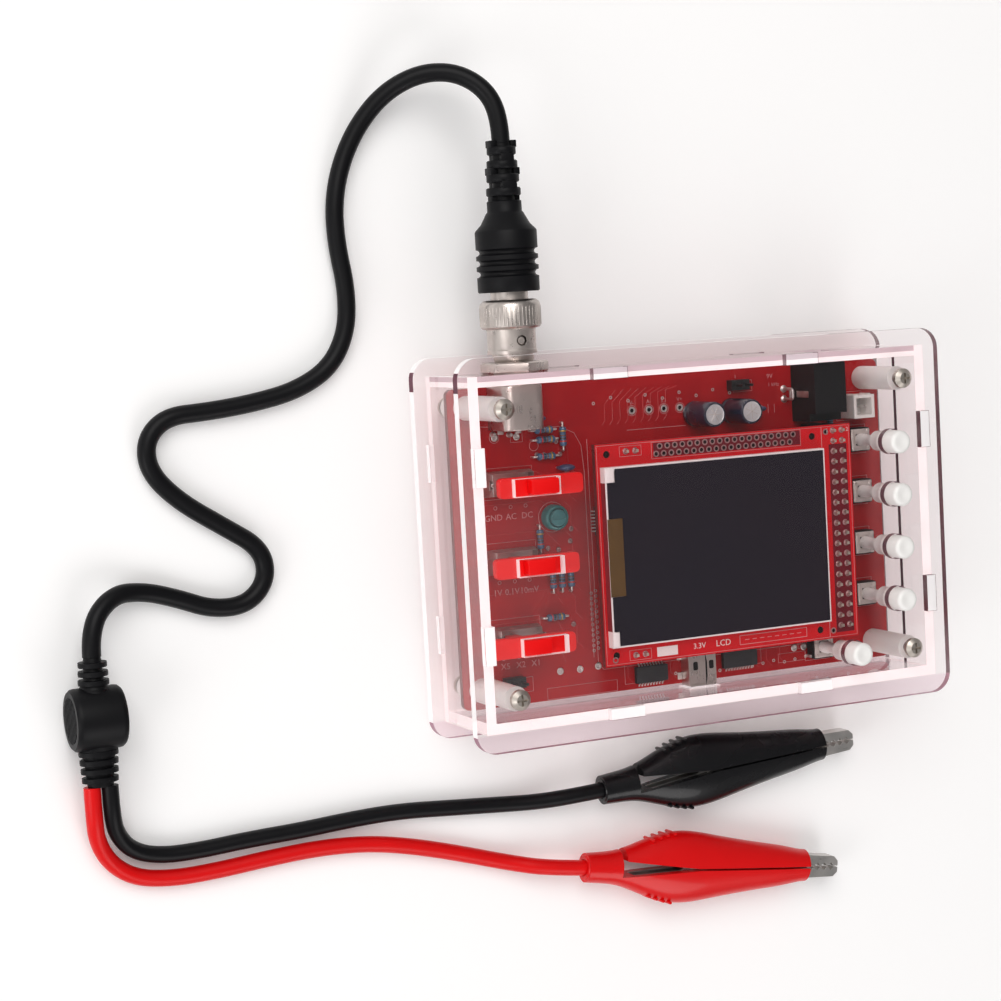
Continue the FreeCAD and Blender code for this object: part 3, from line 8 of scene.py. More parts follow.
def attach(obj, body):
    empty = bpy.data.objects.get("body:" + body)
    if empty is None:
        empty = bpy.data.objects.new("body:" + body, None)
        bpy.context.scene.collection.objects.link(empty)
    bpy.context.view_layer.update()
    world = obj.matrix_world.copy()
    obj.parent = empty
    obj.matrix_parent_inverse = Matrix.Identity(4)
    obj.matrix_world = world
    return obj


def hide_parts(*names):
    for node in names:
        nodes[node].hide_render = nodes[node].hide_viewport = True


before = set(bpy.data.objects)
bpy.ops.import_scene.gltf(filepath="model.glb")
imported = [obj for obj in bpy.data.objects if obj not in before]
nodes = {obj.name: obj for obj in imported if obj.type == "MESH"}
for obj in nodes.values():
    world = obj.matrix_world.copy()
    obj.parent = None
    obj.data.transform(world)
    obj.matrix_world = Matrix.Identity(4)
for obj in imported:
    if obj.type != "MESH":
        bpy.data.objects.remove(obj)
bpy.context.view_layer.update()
mm = 0.001
scene = bpy.context.scene
print("frame loaded")

# Camera: high above the case, to its left and a little toward the plug
cameraData = bpy.data.cameras.new("camera")
cameraData.lens = 87.1
cameraData.sensor_width = 36
cameraObject = bpy.data.objects.new("camera", cameraData)
cameraObject.location = (-0.28327, 0.05648, 0.53217)
cameraObject.rotation_euler = [math.radians(angle) for angle in (-3.51, -24.618, -3.527)]
scene.collection.objects.link(cameraObject)
scene.camera = cameraObject


# Materials are node trees made of a few shared groups


def setInputs(tree, node, inputs):
    for key, value in dict(inputs).items():
        if isinstance(value, bpy.types.NodeSocket):
            tree.links.new(value, node.inputs[key])
        else:
            node.inputs[key].default_value = value


def addNode(tree, kind, inputs=(), **settings):
    node = tree.nodes.new(kind)
    for key, value in settings.items():
        setattr(node, key, value)
    setInputs(tree, node, inputs)
    return node


def newGroup(name, inputs):
    # every shared finish gives a colour, a roughness and a normal
    tree = bpy.data.node_groups.new(name, "ShaderNodeTree")
    for label, kind, value in inputs:
        socket = tree.interface.new_socket(label, in_out="INPUT", socket_type=f"NodeSocket{kind}")
        socket.default_value = value
    for label, kind in (("Color", "Color"), ("Roughness", "Float"), ("Normal", "Vector")):
        tree.interface.new_socket(label, in_out="OUTPUT", socket_type=f"NodeSocket{kind}")
    return tree, tree.nodes.new("NodeGroupInput").outputs, tree.nodes.new("NodeGroupOutput")


def maths(tree, operation, value, *others):
    # folds the values from left to right
    for other in others or (0,):
        value = addNode(tree, "ShaderNodeMath", {0: value, 1: other}, operation=operation).outputs[0]
    return value


def near(tree, value, middle, reach):
    away = maths(tree, "ABSOLUTE", maths(tree, "SUBTRACT", value, middle))
    return maths(tree, "LESS_THAN", away, reach)


def mixColor(tree, share, first, second):
    sockets = {0: share, 6: first, 7: second}
    return addNode(tree, "ShaderNodeMix", sockets, data_type="RGBA", blend_type="MIX").outputs[2]


def noise(tree, place, scale, detail, **more):
    extra = {key.capitalize(): value for key, value in more.items()}
    sockets = {"Vector": place, "Scale": scale, "Detail": detail, **extra}
    return addNode(tree, "ShaderNodeTexNoise", sockets).outputs["Fac"]


def span(tree, value, start=0.0, end=1.0, low=0.0, high=1.0):
    sockets = {"Value": value, "From Min": start, "From Max": end, "To Min": low, "To Max": high}
    return addNode(tree, "ShaderNodeMapRange", sockets).outputs[0]


def bump(tree, height, strength, distance, under=()):
    sockets = {"Height": height, "Strength": strength, "Distance": distance, **dict(under)}
    return addNode(tree, "ShaderNodeBump", sockets).outputs[0]


def readPlace(tree):
    # the piece's own coordinates, whole and split, and its split true normal
    place = addNode(tree, "ShaderNodeTexCoord").outputs["Object"]
    spot = addNode(tree, "ShaderNodeSeparateXYZ", {0: place}).outputs
    geometry = addNode(tree, "ShaderNodeNewGeometry")
    normal = addNode(tree, "ShaderNodeSeparateXYZ", {0: geometry.outputs["True Normal"]}).outputs
    return place, spot, normal


def makeSkinGroup():
    # Moulded or printed skin: cloudy shade, handling smudges in the gloss and a fine grain in relief
    tree, start, end = newGroup(
        "skin",
        [
            ("Color", "Color", (0.5, 0.5, 0.5, 1)),
            ("Shade", "Float", 0.12),
            ("Roughness", "Float", 0.4),
            ("Smudge", "Float", 0.12),
            ("Grain", "Float", 3000),
            ("Relief", "Float", 0.1),
        ],
    )
    place = addNode(tree, "ShaderNodeTexCoord").outputs["Object"]
    cloud = noise(tree, place, 190, 5, roughness=0.6)
    smear = noise(tree, place, 60, 3, distortion=1.4)
    grain = noise(tree, place, start["Grain"], 2)
    centred = maths(tree, "MULTIPLY", maths(tree, "SUBTRACT", cloud, 0.5), start["Shade"])
    shade = maths(tree, "ADD", centred, 1)
    scaled = addNode(tree, "ShaderNodeVectorMath", {0: start["Color"], "Scale": shade}, operation="SCALE")
    smudged = maths(tree, "MULTIPLY", maths(tree, "SUBTRACT", smear, 0.45), start["Smudge"])
    rough = maths(tree, "MAXIMUM", maths(tree, "ADD", start["Roughness"], smudged), 0.02)
    worn = addNode(tree, "ShaderNodeBevel", {"Radius": 0.00012}, samples=4).outputs[0]
    relief = bump(tree, grain, start["Relief"], 0.00004, {"Normal": worn})
    setInputs(tree, end, {"Color": scaled.outputs[0], "Roughness": rough, "Normal": relief})
    return tree


def makeBrushedGroup():
    # Turned or plated metal: hairlines along one way, dull patches and a few pits
    tree, start, end = newGroup(
        "brushed",
        [
            ("Color", "Color", (0.6, 0.6, 0.6, 1)),
            ("Roughness", "Float", 0.25),
            ("Stretch", "Vector", (1, 1, 1)),
            ("Lines", "Float", 0.15),
        ],
    )
    place = addNode(tree, "ShaderNodeTexCoord").outputs["Object"]
    sockets = {0: place, 1: start["Stretch"]}
    stretched = addNode(tree, "ShaderNodeVectorMath", sockets, operation="MULTIPLY").outputs[0]
    hair = noise(tree, stretched, 1500, 4)
    patch = noise(tree, place, 260, 6, roughness=0.65)
    dull = span(tree, patch, 0.42, 0.72, high=0.2)
    tinted = mixColor(tree, dull, start["Color"], (0.36, 0.33, 0.29, 1))
    lined = maths(tree, "MULTIPLY", hair, start["Lines"])
    rough = maths(tree, "ADD", start["Roughness"], lined, dull)
    worn = addNode(tree, "ShaderNodeBevel", {"Radius": 0.0001}, samples=4).outputs[0]
    relief = bump(tree, hair, start["Lines"], 0.00003, {"Normal": worn})
    setInputs(tree, end, {"Color": tinted, "Roughness": rough, "Normal": relief})
    return tree


skinGroup = makeSkinGroup()
brushedGroup = makeBrushedGroup()


def newMaterial(name):
    material = bpy.data.materials.new(name)
    material.use_nodes = True
    tree = material.node_tree
    return material, tree, tree.nodes["Principled BSDF"]


def groupNode(tree, group, inputs):
    return addNode(tree, "ShaderNodeGroup", inputs, node_tree=group)


def finishSockets(node):
    color, rough, normal = [node.outputs[key] for key in ("Color", "Roughness", "Normal")]
    return {"Base Color": color, "Roughness": rough, "Normal": normal}


def skin(name, color, specular=0.5, lacquer=0.0, principled=(), **settings):
    # Plastic, rubber or lacquer on the shared skin group
    material, tree, surface = newMaterial(name)
    values = {key.capitalize(): value for key, value in settings.items()}
    node = groupNode(tree, skinGroup, {"Color": (*color, 1), **values})
    gloss = {"Specular IOR Level": specular, "Coat Weight": lacquer}
    setInputs(tree, surface, {**finishSockets(node), **gloss, **dict(principled)})
    return material


def metal(name, color, roughness=0.25, stretch=(1, 1, 1), lines=0.15):
    material, tree, surface = newMaterial(name)
    settings = {"Color": (*color, 1), "Roughness": roughness, "Stretch": stretch, "Lines": lines}
    node = groupNode(tree, brushedGroup, settings)
    setInputs(tree, surface, {**finishSockets(node), "Metallic": 1})
    return material


# Where the clear sheets change their look, in metres, as (middle, reach) or (from, to)
sheetMarks = {
    "paintedShadeFrom": 0.034,
    "tabRow": (0.0358, 0.0023),
    "nearRim": -0.0455,
    "wallFace": (0.0593, 0.0007),
    "paintedWallLine": (0.0187, 0.0006),
    "bloomLeft": (-0.031, -0.034),
    "bloomLow": (0.014, 0.002),
    "bloomRight": (0.042, 0.045),
}


def acrylic(name, sheetAxis, tint, edgeTint, paintedLightAndBloom=0.0, paintedWallLine=0.0, paintedTintFrom=1.0):
    # Clear cast sheet whose laser-cut edges are frosted and ribbed across the sheet
    marks = sheetMarks
    material, tree, surface = newMaterial(name)
    place, spot, normal = readPlace(tree)
    cutEdge = maths(tree, "LESS_THAN", maths(tree, "ABSOLUTE", normal[sheetAxis]), 0.5)
    alongSheet = [1, 1, 1]
    alongSheet["XYZ".index(sheetAxis)] = 0.02
    ribs = addNode(tree, "ShaderNodeVectorMath", {0: place, 1: alongSheet}, operation="MULTIPLY")
    melt = noise(tree, ribs.outputs[0], 2600, 3)
    smear = span(tree, noise(tree, place, 45, 6, roughness=0.7), 0.5, high=0.05)
    rough = maths(tree, "ADD", maths(tree, "MAXIMUM", smear, 0.0), maths(tree, "MULTIPLY", cutEdge, 0.3))
    # painted shade: the cut edges of the openings beside the buttons and tabs, and of the far rim, are
    # painted dark where they lie in shade
    beside = maths(tree, "GREATER_THAN", spot["X"], marks["paintedShadeFrom"])
    tabs = near(tree, spot["Y"], *marks["tabRow"])
    paintedShade = maths(tree, "MULTIPLY", maths(tree, "MAXIMUM", beside, tabs), paintedLightAndBloom)
    edgeColor = mixColor(tree, paintedShade, (*edgeTint, 1), (0.1, 0.02, 0.04, 1))
    # painted tint: past the frosted strip the upper cut edge is painted the pinkish tint of what is behind
    # it, standing in for light seen through the sheet
    paintedSeenTint = maths(tree, "GREATER_THAN", spot["Y"], paintedTintFrom)
    edgeColor = mixColor(tree, paintedSeenTint, edgeColor, (0.8, 0.68, 0.73, 1))
    # painted reflection: the near rim of the front sheet is painted pink for the red board it mirrors, and
    # its cut edge is painted darkest as painted shade
    rim = maths(tree, "MULTIPLY", maths(tree, "LESS_THAN", spot["Y"], marks["nearRim"]), paintedLightAndBloom)
    face = mixColor(tree, rim, (*tint, 1), (0.93, 0.82, 0.86, 1))
    edgeColor = mixColor(tree, rim, edgeColor, (0.42, 0.2, 0.27, 1))
    edged = mixColor(tree, cutEdge, face, edgeColor)
    # a dark line is painted along the far wall's inner face, a painted light effect seen in the wall rather
    # than a mark on the sheet
    wall = near(tree, spot["X"], *marks["wallFace"])
    line = maths(tree, "MULTIPLY", wall, near(tree, spot["Z"], *marks["paintedWallLine"]), paintedWallLine)
    color = mixColor(tree, line, edged, (0.06, 0.015, 0.03, 1))
    # handling has left a faint bloom over the left and right of the front sheet
    left = span(tree, spot["X"], *marks["bloomLeft"])
    low = span(tree, spot["Y"], *marks["bloomLow"])
    right = span(tree, spot["X"], *marks["bloomRight"])
    patches = maths(tree, "MAXIMUM", maths(tree, "MULTIPLY", left, low), right)
    bloom = maths(tree, "MULTIPLY", patches, paintedLightAndBloom * 0.016)
    veil = maths(tree, "ADD", maths(tree, "MULTIPLY", cutEdge, 0.72), maths(tree, "MULTIPLY", line, 0.95))
    # painted glow: the frosted cut edges get a faint emission, painted light standing in for light that
    # entered the faces and leaves through the edges
    dim = maths(tree, "MAXIMUM", paintedShade, paintedSeenTint, rim)
    bright = maths(tree, "SUBTRACT", cutEdge, maths(tree, "MULTIPLY", cutEdge, dim))
    sockets = {
        "Base Color": color,
        "Roughness": rough,
        "Normal": bump(tree, melt, maths(tree, "MULTIPLY", cutEdge, 0.5), 0.00006),
        "Transmission Weight": maths(tree, "SUBTRACT", 1, maths(tree, "MAXIMUM", veil, bloom)),
        "IOR": 1.33,
        "Specular IOR Level": 0.1,
        "Emission Strength": maths(tree, "MULTIPLY", bright, 0.16),
        "Emission Color": (1, 0.95, 0.96, 1),
    }
    setInputs(tree, surface, sockets)
    # light falls through the sheet onto what is behind it
    clearView = addNode(tree, "ShaderNodeBsdfTransparent", {"Color": (0.97, 0.93, 0.93, 1)})
    path = addNode(tree, "ShaderNodeLightPath").outputs
    passing = maths(tree, "MAXIMUM", path["Is Shadow Ray"], path["Is Diffuse Ray"])
    shares = {0: maths(tree, "MULTIPLY", passing, 0.95), 1: surface.outputs[0], 2: clearView.outputs[0]}
    blended = addNode(tree, "ShaderNodeMixShader", shares)
    tree.links.new(blended.outputs[0], tree.nodes["Material Output"].inputs["Surface"])
    return material


black = (0.004, 0.004, 0.005)
vinyl = {"specular": 0.25, "lacquer": 0.15, "grain": 2400, "relief": 0.12}
paint = {
    "jacket": skin("cable_jacket", black, 0.16, shade=0.5, roughness=0.4, grain=5200, relief=0.2),
    "redJacket": skin(
        "red_jacket", (0.7, 0.003, 0.004), 0.22, shade=0.18, roughness=0.36, grain=5200, relief=0.14
    ),
    "bootRubber": skin("boot_rubber", black, 0.16, shade=0.5, roughness=0.45, grain=3800, relief=0.3),
}
print("shared materials made")


# Cords lie on the floor on smooth lines through listed points, in metres


def layCord(name, node, material, radius, points):
    curve = bpy.data.curves.new(name, "CURVE")
    curve.dimensions = "3D"
    spline = curve.splines.new("NURBS")
    spline.points.add(len(points) - 1)
    for point, (x, y, z) in zip(spline.points, points):
        point.co = (x, y, z, 1)
    spline.order_u = 3
    spline.use_endpoint_u = True
    spline.resolution_u = 12
    curve.bevel_depth = radius
    curve.bevel_resolution = 8
    curve.use_fill_caps = True
    cordObject = bpy.data.objects.new(name, curve)
    scene.collection.objects.link(cordObject)
    curve.materials.append(material)
    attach(cordObject, "case")
    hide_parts(node)
    return cordObject


coaxRoute = [
    (-0.0449, 0.09025, 0.0176), (-0.0449, 0.0965, 0.0176), (-0.0476, 0.103, 0.0164),
    (-0.0536, 0.1072, 0.0134), (-0.061, 0.1074, 0.0096), (-0.0684, 0.1036, 0.0062),
    (-0.0742, 0.097, 0.0036), (-0.0786, 0.0886, 0.00215), (-0.0813, 0.079, 0.00215),
    (-0.0812, 0.069, 0.00215), (-0.0794, 0.0586, 0.00215), (-0.08, 0.0488, 0.00215),
    (-0.0846, 0.0406, 0.00215), (-0.0934, 0.0358, 0.00215), (-0.1044, 0.0336, 0.00215),
    (-0.1152, 0.0325, 0.00215), (-0.125, 0.0321, 0.00215), (-0.1302, 0.0271, 0.00215),
    (-0.1298, 0.0198, 0.00215), (-0.1232, 0.0126, 0.00215), (-0.1132, 0.006, 0.00215),
    (-0.1044, 0.0002, 0.00215), (-0.1033, -0.007, 0.00215), (-0.1084, -0.0126, 0.00215),
    (-0.117, -0.0128, 0.00215), (-0.1252, -0.0094, 0.00215), (-0.1332, -0.0069, 0.0029),
    (-0.141, -0.0066, 0.005), (-0.1472, -0.0128, 0.00715), (-0.1472, -0.0198, 0.00715),
]
blackRoute = [
    (-0.14515, -0.049, 0.00715), (-0.14515, -0.0546, 0.00715), (-0.144, -0.0606, 0.0049),
    (-0.14, -0.0656, 0.0027), (-0.1334, -0.0679, 0.00195), (-0.1244, -0.0681, 0.00195),
    (-0.112, -0.0673, 0.00195), (-0.099, -0.067, 0.00195), (-0.086, -0.0662, 0.00195),
    (-0.074, -0.066, 0.00195), (-0.061, -0.067, 0.00195), (-0.0485, -0.068, 0.00195),
    (-0.038, -0.0685, 0.0034), (-0.0285, -0.06797, 0.0051), (-0.0215, -0.0676, 0.0051),
]
redRoute = [
    (-0.14925, -0.049, 0.00715), (-0.14925, -0.0554, 0.00715), (-0.1484, -0.062, 0.0049),
    (-0.145, -0.068, 0.0027), (-0.1392, -0.0722, 0.00195), (-0.1306, -0.0736, 0.00195),
    (-0.12, -0.0734, 0.00195), (-0.1075, -0.0724, 0.00195), (-0.0945, -0.0718, 0.00195),
    (-0.082, -0.0726, 0.00195), (-0.07, -0.0752, 0.00195), (-0.058, -0.0788, 0.00195),
    (-0.047, -0.0824, 0.0022), (-0.0372, -0.08481, 0.0051), (-0.0273, -0.0862, 0.0051),
]
coaxCord = layCord("coax_cord", "coax_cable", paint["jacket"], 2.15 * mm, coaxRoute)
blackCord = layCord("black_cord", "black_lead", paint["jacket"], 1.95 * mm, blackRoute)
redCord = layCord("red_cord", "red_lead", paint["redJacket"], 1.95 * mm, redRoute)
print("cords laid")

# Remaining materials, each on a shared group with its own colour and relief

sheetTint, sheetEdge, paintedTintStart = (0.985, 0.94, 0.945), (1, 0.97, 0.975), 0.0357
nylonSkin = {"principled": {"Subsurface Weight": 0.06}, "roughness": 0.42, "grain": 2600}
inkSkin = {"shade": 0.35, "roughness": 0.55, "grain": 7000, "relief": 0.5}
paint.update(
    {
        "clear": acrylic("clear_acrylic", "Z", (0.99, 0.955, 0.96), (1, 0.975, 0.98), paintedLightAndBloom=1.0),
        "clearSide": acrylic("clear_acrylic_side", "X", sheetTint, sheetEdge, paintedWallLine=1.0),
        "clearEnd": acrylic("clear_acrylic_end", "Y", sheetTint, sheetEdge, paintedTintFrom=paintedTintStart),
        "nylon": skin("white_nylon", (0.8, 0.785, 0.76), **nylonSkin),
        "cap": skin("button_cap", (0.88, 0.87, 0.85), lacquer=0.2, shade=0.05, roughness=0.3, grain=2200),
        "thumb": skin("slider_plastic", (0.82, 0.002, 0.003), 0.25, shade=0.1, roughness=0.35, grain=1800),
        "blackPlastic": skin(
            "black_plastic", (0.005, 0.005, 0.006), 0.22, shade=0.4, roughness=0.42, relief=0.25
        ),
        "holeShade": skin("hole_shade", (0.012, 0.006, 0.006), 0.1, roughness=0.8),
        "chip": skin("chip_body", (0.014, 0.015, 0.018), shade=0.5, roughness=0.55, grain=6000, relief=0.5),
        "chipMark": skin("chip_dimple", (0.03, 0.03, 0.034), shade=0.3, roughness=0.7),
        "trimmer": skin("trimmer_plastic", (0.02, 0.17, 0.17), lacquer=0.3, shade=0.15, roughness=0.32),
        "trimmerDisc": skin(
            "trimmer_rotor_disc", (0.035, 0.19, 0.2), lacquer=0.2, shade=0.25, roughness=0.35
        ),
        "resistorCoat": skin("resistor_coat", (0.045, 0.11, 0.2), lacquer=0.3, roughness=0.35),
        "bandRed": skin("band_red", (0.5, 0.02, 0.015), lacquer=0.5, roughness=0.4),
        "bandBlack": skin("band_black", (0.01, 0.01, 0.01), lacquer=0.5, roughness=0.4),
        "bandBrown": skin("band_brown", (0.12, 0.04, 0.015), lacquer=0.5, roughness=0.4),
        "bandGold": skin("band_gold", (0.5, 0.32, 0.06), principled={"Metallic": 0.7}, roughness=0.4),
        "discCoat": skin("disc_coat", (0.045, 0.06, 0.13), lacquer=0.3, roughness=0.38, relief=0.3),
        "sleeve": skin("can_sleeve", (0.008, 0.01, 0.028), lacquer=0.6, shade=0.3, roughness=0.25),
        "amber": skin("amber_film", (0.1, 0.055, 0.016), 0.3, shade=0.35, roughness=0.35),
        "ink": skin("white_ink", (0.78, 0.7, 0.69), **inkSkin),
        "rose": skin("worn_ink", (0.6, 0.27, 0.28), **inkSkin),
        "redVinyl": skin("red_vinyl", (0.68, 0.002, 0.003), shade=0.1, roughness=0.3, **vinyl),
        "blackVinyl": skin("black_vinyl", black, shade=0.4, roughness=0.27, **vinyl),
        "shadeMask": skin("shaded_mask", (0.13, 0.006, 0.014), 0.2, roughness=0.4),
        "track": skin("mask_over_track", (0.42, 0.01, 0.014), lacquer=0.3, shade=0.2, roughness=0.3),
        "nickel": metal("nickel", (0.6, 0.545, 0.51), 0.2, (1, 0.05, 1)),
        "nickelSheet": metal("jaw_steel", (0.6, 0.58, 0.56), 0.22, (0.1, 1, 1)),
        "steel": metal("screw_steel", (0.55, 0.5, 0.45), 0.26, (1, 1, 0.1)),
        "can": metal("can_aluminium", (0.72, 0.72, 0.73), 0.3, (1, 0.1, 1)),
        "tin": metal("tin_solder", (0.66, 0.62, 0.6), 0.24, lines=0.3),
        "dullTin": metal("dull_solder", (0.4, 0.24, 0.24), 0.3, lines=0.3),
        "gold": metal("contact_brass", (0.83, 0.6, 0.22), 0.2, (1, 1, 0.1)),
        "darkSteel": metal("switch_cover", (0.62, 0.57, 0.54), 0.34, (0.1, 1, 1), 0.25),
        "switchCan": metal("slide_switch_cover", (0.5, 0.44, 0.42), 0.24, (0.1, 1, 1), 0.25),
    }
)


def pinHeader(name, pinsFrom=0.0231):
    # black moulded strip whose square pins come out bright above the display board
    material, tree, surface = newMaterial(name)
    spot = readPlace(tree)[1]
    pin = maths(tree, "GREATER_THAN", spot["Z"], pinsFrom)
    plastic = groupNode(tree, skinGroup, {"Color": (0.008, 0.008, 0.009, 1), "Roughness": 0.42, "Shade": 0.4})
    bright = groupNode(tree, brushedGroup, {"Color": (0.62, 0.58, 0.5, 1), "Roughness": 0.25})
    color = mixColor(tree, pin, plastic.outputs["Color"], bright.outputs["Color"])
    setInputs(tree, surface, {**finishSockets(plastic), "Base Color": color, "Metallic": pin})
    return material


def framePlastic(name, leftFrom=-0.027, shadeSpan=(-0.0077, 0.0176)):
    # white moulding whose left wall, between the corner blocks, is in red shade
    material, tree, surface = newMaterial(name)
    _, spot, normal = readPlace(tree)
    left = maths(tree, "LESS_THAN", normal["X"], -0.5)
    outside = maths(tree, "LESS_THAN", spot["X"], leftFrom)
    paintedShade = maths(tree, "MULTIPLY", left, near(tree, spot["Y"], *shadeSpan), outside)
    source = mixColor(tree, paintedShade, (0.86, 0.82, 0.82, 1), (0.2, 0.012, 0.02, 1))
    node = groupNode(tree, skinGroup, {"Color": source, "Shade": 0.1, "Roughness": 0.4, "Grain": 3000})
    setInputs(tree, surface, finishSockets(node))
    return material


def solderMask(name, color, copperShade):
    # Red lacquer over copper: tracks stand a little proud, pours are lighter than bare laminate,
    # and the sheet's edge shows the buff glass cloth
    material, tree, surface = newMaterial(name)
    place, _, normal = readPlace(tree)
    edge = maths(tree, "LESS_THAN", maths(tree, "ABSOLUTE", normal["Z"]), 0.5)
    cloth = {"Vector": place, "Scale": 480, "Distortion": 0.6, "Detail": 1}
    weave = addNode(tree, "ShaderNodeTexWave", cloth).outputs["Fac"]
    pour = addNode(tree, "ShaderNodeTexVoronoi", {"Vector": place, "Scale": 95}, distance="CHEBYCHEV")
    copper = maths(tree, "GREATER_THAN", pour.outputs["Distance"], 0.42)
    poured = maths(tree, "MULTIPLY", copper, copperShade)
    tinted = mixColor(tree, poured, (*color, 1), (0.5, 0.014, 0.014, 1))
    sideways = mixColor(tree, edge, tinted, (0.14, 0.02, 0.02, 1))
    height = maths(tree, "ADD", maths(tree, "MULTIPLY", copper, 0.6), maths(tree, "MULTIPLY", weave, 0.2))
    node = groupNode(tree, skinGroup, {"Color": sideways, "Shade": 0.22, "Roughness": 0.3, "Smudge": 0.2})
    gloss = {"Specular IOR Level": 0.22, "Coat Weight": 0.06, "Coat Roughness": 0.2}
    relief = bump(tree, height, 0.25, 0.00004, {"Normal": node.outputs["Normal"]})
    setInputs(tree, surface, {**finishSockets(node), "Normal": relief, **gloss})
    return material


def screenGlass(name):
    # Switched-off screen: blue-black under polished film, a little warmer in patches
    material, tree, surface = newMaterial(name)
    place = addNode(tree, "ShaderNodeTexCoord").outputs["Object"]
    cloud = noise(tree, place, 26, 2)
    base = mixColor(tree, cloud, (0.009, 0.009, 0.017, 1), (0.015, 0.009, 0.015, 1))
    smear = span(tree, cloud, low=0.06, high=0.16)
    setInputs(tree, surface, {"Base Color": base, "Roughness": smear, "Specular IOR Level": 0.25})
    return material


paint["pinHeader"] = pinHeader("pin_header")
paint["frameWhite"] = framePlastic("frame_plastic")
paint["board"] = solderMask("main_board_mask", (0.36, 0.003, 0.007), 0.22)
paint["smallBoard"] = solderMask("display_board_mask", (0.56, 0.005, 0.011), 0.2)
paint["screen"] = screenGlass("screen_glass")
print("materials made")


def dress(node, material):
    slots = nodes[node].material_slots
    if not slots:
        nodes[node].data.materials.append(material)
    for materialSlot in slots:
        materialSlot.material = material


# CAD pieces that keep their shape take these finishes
cadFinishes = {
    "clear": ["front_plate", "rear_plate"],
    "clearSide": ["left_panel", "right_panel"],
    "clearEnd": ["top_panel", "bottom_panel"],
    "board": ["main_board"],
    "smallBoard": ["display_board"],
    "nylon": ["front_standoffs", "rear_standoffs", "battery_header"],
    "amber": ["display_flex"],
    "screen": ["display_glass"],
    "frameWhite": ["display_frame"],
    "steel": ["front_screws", "rear_screws", "wave_washer"],
    "blackPlastic": ["header_sockets", "dc_jack"],
    "pinHeader": ["header_pins", "pin_headers"],
    "nickel": ["plug_core", "dc_jack_pin", "usb_socket"],
    "gold": ["plug_pin"],
    "redVinyl": ["red_lower_boot", "red_upper_boot"],
    "blackVinyl": ["black_lower_boot", "black_upper_boot"],
    "nickelSheet": ["red_lower_jaw", "red_upper_jaw", "black_lower_jaw", "black_upper_jaw"],
}
for coating, names in cadFinishes.items():
    for name in names:
        dress(name, paint[coating])
print("case and boards dressed")

# Modelling helpers, in millimetres: everything is deselected first, then picked by place or normal


def selectOnly(*items):
    if bpy.context.mode != "OBJECT":
        bpy.ops.object.mode_set(mode="OBJECT")
    bpy.ops.object.select_all(action="DESELECT")
    for item in items:
        item.select_set(True)
    bpy.context.view_layer.objects.active = items[-1] if items else None


def settle(item, name):
    item.name = name
    item.data.name = name
    selectOnly(item)
    bpy.ops.object.transform_apply(location=True, rotation=True, scale=True)
    return item


def addBox(name, centre, size):
    selectOnly()
    bpy.ops.mesh.primitive_cube_add(size=1, location=[value * mm for value in centre])
    bpy.context.object.scale = [value * mm for value in size]
    return settle(bpy.context.object, name)


def addRing(name, centre, radius, sides=24, fill="NGON"):
    selectOnly()
    place = [value * mm for value in centre]
    bpy.ops.mesh.primitive_circle_add(vertices=sides, radius=radius * mm, fill_type=fill, location=place)
    return settle(bpy.context.object, name)


def pick(item, wanted, kind="FACE"):
    # goes into edit mode with only what wanted(element, middle in mm) picks selected
    selectOnly(item)
    bpy.ops.object.mode_set(mode="EDIT")
    bpy.context.tool_settings.mesh_select_mode = [kind == each for each in ("VERT", "EDGE", "FACE")]
    bpy.ops.mesh.select_all(action="DESELECT")
    mesh = bmesh.from_edit_mesh(item.data)
    elements = {"VERT": mesh.verts, "EDGE": mesh.edges, "FACE": mesh.faces}[kind]
    for element in elements:
        if kind == "VERT":
            middle = element.co
        elif kind == "EDGE":
            middle = (element.verts[0].co + element.verts[1].co) / 2
        else:
            middle = element.calc_center_median()
        if wanted(element, middle / mm):
            element.select_set(True)
    bmesh.update_edit_mesh(item.data)


def leaveEdit():
    bpy.ops.object.mode_set(mode="OBJECT")


def everyFace(face, middle):
    return True


def faceUp(face, middle):
    return face.normal.z > 0.9


def faceDown(face, middle):
    return face.normal.z < -0.9


def upright(edge, middle):
    return abs(edge.verts[0].co.z - edge.verts[1].co.z) > mm


def inset(item, wanted, border, deep=0):
    pick(item, wanted)
    bpy.ops.mesh.inset(thickness=border * mm, depth=deep * mm)
    leaveEdit()


def drawOut(item, wanted, along, scale=1.0):
    # extrudes the picked faces along a vector in mm, then scales their far end
    pick(item, wanted)
    move = {"value": [value * mm for value in along]}
    bpy.ops.mesh.extrude_region_move(TRANSFORM_OT_translate=move)
    if scale != 1.0:
        bpy.ops.transform.resize(value=(scale, scale, scale))
    leaveEdit()


def bevelEdges(item, wanted, width, segments=2):
    pick(item, wanted, "EDGE")
    bpy.ops.mesh.bevel(offset=width * mm, segments=segments, affect="EDGES")
    leaveEdit()


def soften(item, width, segments=2, angle=40):
    modifier = item.modifiers.new("soft_edges", "BEVEL")
    modifier.width = width * mm
    modifier.segments = segments
    modifier.angle_limit = math.radians(angle)
    modifier.harden_normals = False
    selectOnly(item)
    bpy.ops.object.modifier_apply(modifier=modifier.name)


